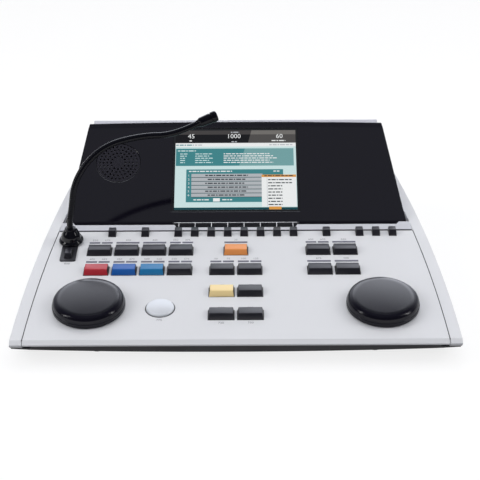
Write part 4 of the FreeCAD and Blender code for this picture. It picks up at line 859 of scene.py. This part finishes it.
# %% The list, the table and the small window
tile("teal", 0.005, 0.234, 0.98, 0.455, 2)
tile("pale_teal", 0.528, 0.234, 0.98, 0.455, 3, lean=0.049)
dashes("ground", 0.02, 0.17, 0.257, 4)
for line in range(5):
    row_top = 0.297 + 0.0275 * line
    dashes("ground", 0.04, 0.1 - 0.02 * (line > 1), row_top, 4, 0.011, line)
    dashes("ground", 0.165, 0.31 - 0.03 * (line % 2), row_top, 4, 0.011, line + 1)
    dashes("white", 0.4, 0.78 + 0.03 * (line % 3), row_top, 4, 0.011, line + 2)

tile("teal", 0.093, 0.5, 0.89, 0.908, 2)
dashes("white", 0.115, 0.47, 0.518, 3)
dashes("white", 0.81, 0.86, 0.518, 3)
for line in range(6):
    row_top = 0.556 + 0.049 * line
    tile("ink", 0.136, row_top, 0.72, row_top + 0.047, 3)
    tile("row", 0.136, row_top, 0.72, row_top + 0.041, 4)
    dashes("ink", 0.25 + 0.02 * (line % 2), 0.6 - 0.015 * (line % 3), row_top + 0.013, 5, 0.015,
           line)
    screen_number(str(line + 1), "white", 0.114, row_top + 0.022, 0.038, 5)
dashes("white", 0.155, 0.28, 0.872, 3)
tile("white", 0.315, 0.86, 0.37, 0.9, 3)
dashes("white", 0.39, 0.47, 0.872, 3, start=1)

tile("white", 0.712, 0.57, 0.995, 0.965, 6)
tile("orange", 0.712, 0.57, 0.995, 0.6, 7)
dashes("ink", 0.735, 0.97, 0.578, 8, 0.012)
for line in range(9):
    dashes("ink", 0.765, 0.96 if line < 2 else 0.88, 0.627 + 0.0385 * line, 8, 0.013, line)
tile("row", 0.755, 0.605, 0.758, 0.965, 7)
tile("deep_teal", 0, 0.973, 1, 1, 2)
tile("orange", 0.77, 0.965, 0.87, 1, 7)
finished("display_picture", picture, LID, screen_finishes, "lid")

# %% [markdown]
# ## Printed numbers
#
# Legends on a panel are printed in thin grey ink.  Ink has almost no height, but a print
# that is truly flat in the surface would flicker with it, so it is a text object given a
# thickness of a few hundredths of a millimetre, made a mesh and laid on the panel.  The
# legends here are plain numbers: one over a light bar, two over a bar in two halves, one
# close over a key that has no bar, and one below the button, the talk key and the two keys
# at the front.

# %% Numbers on the panel
ink = moulded("ink", (0.24, 0.24, 0.26), 0.6, grain=0.3, tone=0.1, rub=0.0)
NUMBER_UP, NUMBER_OFF, NUMBER_HEIGHT, NUMBER_STEP, HALF_BAR, BAR_REACH = 18.2, 3.2, 3.3, 25, 5.5, 8
INK_LIFT, INK_THICK = 0.03, 0.02
to_panel = PANEL.inverted()
bar_marks = [to_panel @ vertex.co for vertex in frame["nodes"]["indicator_bars"].data.vertices]
number_spots = []
for name in (name for name in key_names if "function" not in name and name != "talk_key"):
    low, high = reach(name, PANEL)
    ends = {round(mark.x, 1) for mark in bar_marks
            if low.x < mark.x < high.x and 0 < mark.y - high.y < BAR_REACH}
    u, v = (low.x + high.x) / 2, (low.y + high.y) / 2 + NUMBER_UP
    if len(ends) > 2:
        number_spots += [(u - HALF_BAR, v), (u + HALF_BAR, v)]
    else:
        number_spots.append((u, v if ends else high.y + NUMBER_OFF))
for name in ("centre_key_6", "centre_key_7", "round_button", "talk_plate"):
    low, high = reach(name, PANEL)
    number_spots.append(((low.x + high.x) / 2, low.y - NUMBER_OFF))
panel_print = bmesh.new()
for count, (u, v) in enumerate(number_spots, start=1):
    lettering(panel_print, str(count * NUMBER_STEP), NUMBER_HEIGHT, u, v, INK_LIFT,
              thick=INK_THICK)
print("numbers on the panel:", len(number_spots))
finished("panel_numbers", panel_print, PANEL, [ink], "console")

# %% [markdown]
# ## The legend bar
#
# Eight function keys sit under the display and change their meaning with its picture.  A
# thin black bar lies between the lid's round edge and those keys.  A light line along its
# back is a painted highlight of the lid's lower edge, and a short printed line drops to each
# key, so a field of the picture and its key are read together.  The bar is one long block:
# its front edge is lowered and its ends are drawn in, which gives it the slanted look.  The
# lines are slim blocks that lie on its sloping face.

# %% Legend bar, its printed lines and its painted highlight
BAR_HALF, BAR_DRAWN_IN, BAR_FRONT, BAR_BACK = 58.8, 4.2, 162.7, 169.6
BAR_FOOT, BAR_FRONT_TOP, BAR_BACK_TOP, BAR_THICK, BAR_EDGE = 0.3, 0.75, 1.9, 0.7, 0.12
FIELD, HIGHLIGHT_LINE, LINE_THICK, LINE_LIFT = 15.06, 0.45, 0.1, 0.02
HIGHLIGHT_LINE_ENDS, HIGHLIGHT_LINE_BACK, DROPS, DROP_WIDTH, DROP_FRONT, DROP_ENDS = 4, 1.0, 8, 0.585, 0.2, 1.2
bar_depth = BAR_BACK - BAR_FRONT
bar_slope = (BAR_BACK_TOP - BAR_FRONT_TOP) / bar_depth


def bar_line(work, width, depth, u, v):
    """A slim block on the bar's sloping face, with its front edge at v."""
    lift = BAR_FRONT_TOP + bar_slope * (v + depth / 2 - BAR_FRONT)
    corners = block(work, (width, depth, LINE_THICK), (u, v + depth / 2, lift + LINE_LIFT))
    for corner in corners:
        corner.co.z += bar_slope * (corner.co.y - v - depth / 2)
    for face in {face for corner in corners for face in corner.link_faces}:
        face.material_index = 1


bar = bmesh.new()
for corner in block(bar, (2 * BAR_HALF, bar_depth, 1), (0, BAR_FRONT + bar_depth / 2, 0)):
    at_front = corner.co.y < BAR_FRONT + bar_depth / 2
    top = BAR_FRONT_TOP if at_front else BAR_BACK_TOP
    corner.co.z = top if corner.co.z > 0 else (BAR_FOOT if at_front else top - BAR_THICK)
    corner.co.x -= math.copysign(BAR_DRAWN_IN if at_front else 0, corner.co.x)
bmesh.ops.bevel(bar, geom=bar.edges, offset=BAR_EDGE, segments=2, profile=0.5, affect="EDGES",
                material=-1)
# This long light line is a painted highlight of the lid's lower edge; the short drops below are
# print.
bar_line(bar, 2 * BAR_HALF - HIGHLIGHT_LINE_ENDS, HIGHLIGHT_LINE, 0, BAR_BACK - HIGHLIGHT_LINE_BACK)
for drop in range(DROPS):
    bar_line(bar, DROP_WIDTH, bar_depth - DROP_ENDS, (drop - (DROPS - 1) / 2) * FIELD,
             BAR_FRONT + DROP_FRONT)
print_and_highlight_grey = moulded("print_and_highlight", (0.72, 0.72, 0.75), 0.5)
bar_black = moulded("bar_black", (0.006, 0.006, 0.008), 0.3, tone=0.08, rub=0.05, edge=0.1)
finished("legend_bar", bar, PANEL, [bar_black, print_and_highlight_grey], "console")

# %% [markdown]
# ## Painted shade along the seams
#
# Where two mouldings of a console meet, the shade in the gap between them is painted as a thin
# black bead, which draws the dark line that is seen along the seam.  A bead is a tube along the
# seam: a curve with a round bevel.  The panel's sides are bowed, so a bead follows a shallow
# parabola that was fitted to the panel's edge, and ends at the hinge strip.  The bead in front
# of that strip is flat, and stops short of every function key, so that the keys can go down
# past it.

# %% Beads of painted shade along the side seams
SEAM_START, SEAM_END, SEAM_STEPS, SEAM_DEEP, SHADE_BEAD = -1.0, 157.6, 12, 0.12, 0.42
SEAM_WIDE, SEAM_LEAN, SEAM_BOW = 172.41, 0.0137, 0.000321


def seam_at(v):
    """Distance of the panel's side seam from the middle of the console."""
    return SEAM_WIDE - SEAM_LEAN * v - SEAM_BOW * v * v


def even(route):
    """The same radius all along a bead."""
    return [SHADE_BEAD] * len(route)


# Each bead is painted shade: a black line for the dark gap of the side seam.
for side, sign in (("left", -1), ("right", 1)):
    route = [(sign * seam_at(v), v, -SEAM_DEEP) for v in
             [SEAM_START + (SEAM_END - SEAM_START) * step / SEAM_STEPS
              for step in range(SEAM_STEPS + 1)]]
    finished(f"{side}_seam_shade", tubes([route], "NURBS", even, 1), PANEL,
             [FINISHES["base_black"]], "console", crisp=60)

# %% A flat bead of painted shade along the hinge strip
STRIP_SEAM, STRIP_SHADE_AT, STRIP_SHADE_DEEP, STRIP_SHADE_FLAT = 158.25, 157.95, 0.05, 2.9
STRIP_ENDS, KEY_CLEAR = 0.6, 0.35
strip_half = seam_at(STRIP_SEAM) - STRIP_ENDS
stops = [-strip_half]
columns = [reach(name, PANEL) for name in key_names if "function" in name]
for low, high in sorted(columns, key=lambda pair: pair[0].x):
    stops += [low.x + RIM - KEY_CLEAR, high.x - RIM + KEY_CLEAR]
stops.append(strip_half)
pieces = [[(start, 0, 0), (end, 0, 0)] for start, end in zip(stops[::2], stops[1::2])]
# This flat bead is painted shade of the seam in front of the hinge strip.
strip_shade_bead = tubes(pieces, "POLY", even, 1)
bmesh.ops.scale(strip_shade_bead, vec=(1, STRIP_SHADE_FLAT, 1), verts=strip_shade_bead.verts)
bmesh.ops.translate(strip_shade_bead, vec=(0, STRIP_SHADE_AT, -STRIP_SHADE_DEEP), verts=strip_shade_bead.verts)
print("lengths of flat bead:", len(pieces))
finished("strip_seam_shade", strip_shade_bead, PANEL, [FINISHES["base_black"]], "console",
         crisp=60)

# %% [markdown]
# ## Screws, nuts and numbers out of sight
#
# The underside and the connector plate are what a service hand sees.  Pan-head screws with a
# cross recess close the case, a bright nut holds each jack socket, and a plain number names
# it.  A screw head is turned, and a bar is taken out of all heads at once, first one way and
# then crosswise.  One cutter with both bars would overlap itself, which a Boolean can't take.

# %% Screws
CROSS_LENGTH, CROSS_WIDTH, CROSS_DEPTH, SCREW_SINK = 1.15, 0.32, 0.55, 0.6
CASE_SCREWS = [(x, -y) for x, y in ((-150, -118.7), (-45, -118.7), (45, -118.7), (150, -118.7),
                                    (-133, 118), (133, 118))]
PLATE_SCREWS = [(-122, -9.6), (-122, 9.6), (122, -9.6), (122, 9.6)]


def many(make, places):
    """One bmesh with a shape put at each of several places."""
    crowd = bmesh.new()
    for x, y in places:
        one = make()
        bmesh.ops.translate(one, vec=(x, y, 0), verts=one.verts)
        mesh = bpy.data.meshes.new("one")
        one.to_mesh(mesh)
        one.free()
        crowd.from_mesh(mesh)
    return crowd


def screws(name, places, radius, height, plane):
    """Pan-head screws with a cross recess, all in one piece."""
    section = [(0, -SCREW_SINK), (radius, -SCREW_SINK), (radius, height * 0.35)]
    section += curve((radius, height * 0.4), (radius * 0.9, height), (radius * 0.45, height), 5)
    section += [(0, height)]

    def slit(size):
        cutter = bmesh.new()
        block(cutter, size, (0, 0, height))
        return cutter

    heads = many(lambda: turned(section, 28), places)
    length, width = CROSS_LENGTH * radius, CROSS_WIDTH * radius
    for size in ((length, width, 2 * CROSS_DEPTH), (width, length, 2 * CROSS_DEPTH)):
        heads = cut_away(heads, many(lambda: slit(size), places))
    finished(name, heads, plane, [FINISHES["bare_steel"]], "console", crisp=40)


screws("case_screws", CASE_SCREWS, 3.0, 1.2, UNDERSIDE)
screws("plate_screws", PLATE_SCREWS, 2.2, 0.9, BACK)

# %% Nuts and numbers of the jack sockets
FIRST_JACK, JACK_STEP, JACK_COUNT = 104, 21, 8
JACKS = [FIRST_JACK - JACK_STEP * index for index in range(JACK_COUNT)]
NUT_HOLE, NUT_RADIUS, NUT_FOOT, NUT_TOP, NUT_EDGE = 3.3, 4.9, 0.9, 2.2, 0.3
SOCKET_NUMBER_HEIGHT, SOCKET_NUMBER_DOWN = 3.4, 9.6
nut_section = [(NUT_HOLE, NUT_FOOT), (NUT_RADIUS, NUT_FOOT), (NUT_RADIUS, NUT_TOP - 0.35),
               (NUT_RADIUS - NUT_EDGE, NUT_TOP), (NUT_HOLE + NUT_EDGE, NUT_TOP),
               (NUT_HOLE, NUT_TOP - NUT_EDGE), (NUT_HOLE, NUT_FOOT)]
nuts = many(lambda: turned(nut_section, 24), [(u, 0) for u in JACKS])
finished("jack_nuts", nuts, BACK, [FINISHES["bare_steel"]], "console")

back_print = bmesh.new()
for count, u in enumerate(JACKS, start=1):
    lettering(back_print, str(count), SOCKET_NUMBER_HEIGHT, u, -SOCKET_NUMBER_DOWN, INK_LIFT,
              thick=INK_THICK)
finished("socket_numbers", back_print, BACK, [print_and_highlight_grey], "console")

# %% [markdown]
# ## Skirts and rubber feet
#
# The black tray's front edge runs on under both cheeks as a thin skirt that tapers to the
# corner.  It is a block whose outer lower edge is raised.  The feet are turned discs with a
# full round at their lower edge, where the solid ones are plain.

# %% Skirts under the cheeks
SKIRT_IN, SKIRT_OUT, SKIRT_FRONT, SKIRT_BACK = 166.0, 181.9, -143.6, -135.0
SKIRT_ROOF, SKIRT_LOW_IN, SKIRT_LOW_OUT, SKIRT_EDGE = 14.3, 12.6, 13.6, 0.2
for side, sign in (("left", -1), ("right", 1)):
    skirt = bmesh.new()
    middle = (sign * (SKIRT_IN + SKIRT_OUT) / 2, (SKIRT_FRONT + SKIRT_BACK) / 2, 0)
    for corner in block(skirt, (SKIRT_OUT - SKIRT_IN, SKIRT_BACK - SKIRT_FRONT, 1), middle):
        lowest = SKIRT_LOW_OUT if abs(corner.co.x) > abs(middle[0]) else SKIRT_LOW_IN
        corner.co.z = SKIRT_ROOF if corner.co.z > 0 else lowest
    bmesh.ops.bevel(skirt, geom=skirt.edges, offset=SKIRT_EDGE, segments=2, profile=0.5,
                    affect="EDGES", material=-1)
    finished(f"{side}_skirt", skirt, Matrix.Scale(MM, 4), [FINISHES["base_black"]], "console")

# %% Four feet
FOOT_ROUND, FOOT_SIDE = 5.2, 0.2
foot_spots = [vertex.co / MM for vertex in frame["nodes"]["feet"].data.vertices]
foot_places = []
for across, along in ((-1, -1), (-1, 1), (1, -1), (1, 1)):
    ring = [spot for spot in foot_spots if spot.x * across > 0 and spot.y * along > 0]
    foot_low, foot_high = Vector(map(min, zip(*ring))), Vector(map(max, zip(*ring)))
    foot_places.append(((foot_low.x + foot_high.x) / 2, (foot_low.y + foot_high.y) / 2))
foot_radius = (foot_high.x - foot_low.x) / 2
foot_section = [(0, foot_low.z)]
foot_section += curve((foot_radius - FOOT_ROUND, foot_low.z), (foot_radius, foot_low.z),
                      (foot_radius, foot_high.z - FOOT_SIDE), 6)
foot_section += [(foot_radius, foot_high.z), (0, foot_high.z)]
finished("rubber_feet", many(lambda: turned(foot_section, 40), foot_places),
         Matrix.Scale(MM, 4), [FINISHES["foot_rubber"]], "console", ["feet"])

# %% [markdown]
# ## Stage, light and camera
#
# The object stands on a plain pale floor.  The floor takes a soft shadow and is lifted to
# white only for the camera and in reflections, so it throws no extra light on the object.
# The same goes for the world: it is white to the camera, and in reflections it is bright
# behind the object, low down and in the middle, and dark overhead, as in a studio with a lit
# backdrop and a dark ceiling.  Four soft lamps light the matt surfaces alone, so no pale
# square shows in the gloss.  Two narrow ones are seen in the gloss alone and draw a fine
# bright line along what is round and black.

# %% A pale floor
FLOOR_TONE, FLOOR_LIFT = 0.21, 0.8
floor_work = bmesh.new()
bmesh.ops.create_grid(floor_work, x_segments=2, y_segments=2, size=3)
floor_mesh = bpy.data.meshes.new("floor")
floor_work.to_mesh(floor_mesh)
floor_work.free()
floor = bpy.data.objects.new("floor", floor_mesh)
bpy.context.scene.collection.objects.link(floor)

floor_finish = bpy.data.materials.new("floor_paint")
floor_finish.use_nodes = True
tree = floor_finish.node_tree
shader = tree.nodes["Principled BSDF"]
ray = node(tree, "LightPath")
seen = node(tree, "Math", {0: ray.outputs["Is Camera Ray"], 1: ray.outputs["Is Glossy Ray"]},
            operation="MAXIMUM")
seen = node(tree, "Math", {0: seen.outputs[0], 1: ray.outputs["Is Transmission Ray"]},
            operation="MAXIMUM")
lift = node(tree, "Math", {0: seen.outputs[0], 1: FLOOR_LIFT}, operation="MULTIPLY")
shader.inputs["Base Color"].default_value = (FLOOR_TONE, FLOOR_TONE, FLOOR_TONE, 1)
shader.inputs["Roughness"].default_value = 0.9
shader.inputs["Specular IOR Level"].default_value = 0.0
shader.inputs["Emission Color"].default_value = (1, 1, 1, 1)
tree.links.new(lift.outputs[0], shader.inputs["Emission Strength"])
floor_mesh.materials.append(floor_finish)
print("floor tone:", FLOOR_TONE, " lifted by:", FLOOR_LIFT)

# %% The world
AMBIENT = 0.42                          # light on matt surfaces
BEHIND, LOW_DOWN = (0.1, 0.6), (0.78, 0.6)      # where the lit backdrop starts and is full
ASIDE, ASIDE_LIGHT = (0.3, 0.5), 0.3    # where it falls off to the sides, and to what share
LEFT_TO_RIGHT, BACKDROP_LIGHT = (-0.25, 0.25), (1.95, 2.75)     # brighter on the right
OVERHEAD, OVERHEAD_LIGHT = (0.88, 0.98), (0.06, 0.2)            # dark, a little less on top


def either(tree, share, first, second):
    """A number between two, by a share from 0 to 1."""
    return node(tree, "Mix", {0: share, 2: first, 3: second}, data_type="FLOAT").outputs[0]


world = bpy.data.worlds.new("studio")
bpy.context.scene.world = world
world.use_nodes = True
tree = world.node_tree
ray = node(tree, "LightPath")
way = node(tree, "SeparateXYZ", {0: node(tree, "TexCoord").outputs["Generated"]})
behind = stretched(tree, way.outputs["Y"], *BEHIND, 0.0, 1.0)
low_down = stretched(tree, way.outputs["Z"], *LOW_DOWN, 0.0, 1.0)
aside = node(tree, "Math", {0: way.outputs["X"]}, operation="ABSOLUTE").outputs[0]
narrow = stretched(tree, aside, *ASIDE, 1.0, ASIDE_LIGHT)
backdrop = node(tree, "Math", {0: behind, 1: low_down}, operation="MULTIPLY").outputs[0]
backdrop = node(tree, "Math", {0: backdrop, 1: narrow}, operation="MULTIPLY").outputs[0]
overhead = stretched(tree, way.outputs["Z"], *OVERHEAD, *OVERHEAD_LIGHT)
sideways = stretched(tree, way.outputs["X"], *LEFT_TO_RIGHT, *BACKDROP_LIGHT)
mirrored = node(tree, "Math", {0: backdrop, 1: sideways, 2: overhead},
                operation="MULTIPLY_ADD").outputs[0]
unseen = either(tree, ray.outputs["Is Glossy Ray"], AMBIENT, mirrored)
unseen = either(tree, ray.outputs["Is Transmission Ray"], unseen, 1.0)
strength = either(tree, ray.outputs["Is Camera Ray"], unseen, 1.0)
tint = between(tree, ray.outputs["Is Camera Ray"], (0.92, 0.95, 1.05, 1), (1, 1, 1, 1))
tree.links.new(tint, tree.nodes["Background"].inputs["Color"])
tree.links.new(strength, tree.nodes["Background"].inputs["Strength"])
print("ambient light:", AMBIENT)

# %% Lamps
LAMP_AIM = Vector((0, 0, 0.06))


def softbox(name, spot, size, watts, in_gloss=False):
    """A soft lamp that looks at the middle of the object, for matt light or for gloss only."""
    light = bpy.data.lights.new(name, "AREA")
    light.shape = "RECTANGLE"
    light.size, light.size_y = size
    light.energy = watts
    lamp = bpy.data.objects.new(name, light)
    bpy.context.scene.collection.objects.link(lamp)
    lamp.location = spot
    aim = LAMP_AIM - Vector(spot)
    lamp.rotation_euler = aim.to_track_quat("-Z", "Y").to_euler()
    lamp.visible_camera = False
    lamp.visible_glossy = in_gloss
    lamp.visible_diffuse = not in_gloss
    print(f"{name}: {watts} W{' in gloss only' if in_gloss else ''}")


softbox("left_softbox", (-1.25, -0.25, 0.95), (0.7, 0.9), 8.9)
softbox("right_softbox", (1.25, -0.1, 0.95), (0.7, 0.9), 7.5)
softbox("back_softbox", (0.0, 0.85, 1.75), (1.4, 0.6), 9)
softbox("front_softbox", (0.0, -1.5, 1.7), (1.2, 0.7), 7.5)
softbox("left_glint", (-1.25, -0.45, 0.8), (0.14, 1.0), 4.0, in_gloss=True)
softbox("right_glint", (1.25, -0.35, 0.8), (0.14, 1.0), 4.0, in_gloss=True)

# %% Camera
LENS, SENSOR, PICTURE_SHIFT = 87.0, 36.0, -15.5 / 480
CAMERA_AT, PITCH, ROLL = (0.0038, -0.9443, 0.5118), 25.82, -0.0048
camera_data = bpy.data.cameras.new("camera")
camera_data.lens = LENS
camera_data.sensor_width = SENSOR
camera_data.shift_y = PICTURE_SHIFT
camera = bpy.data.objects.new("camera", camera_data)
bpy.context.scene.collection.objects.link(camera)
camera.matrix_world = (Matrix.Translation(CAMERA_AT)
                       @ Matrix.Rotation(math.radians(90 - PITCH), 4, "X")
                       @ Matrix.Rotation(ROLL, 4, "Z"))
bpy.context.scene.camera = camera
bpy.context.scene.view_settings.view_transform = "Standard"
print("camera at", [round(part, 3) for part in camera.location])

# %% [markdown]
# ## Bringing the scene up to date
#
# The dressed object must not outgrow its solid parts.  The last step brings the scene up to date.

# %% Bring the scene up to date
bpy.context.view_layer.update()
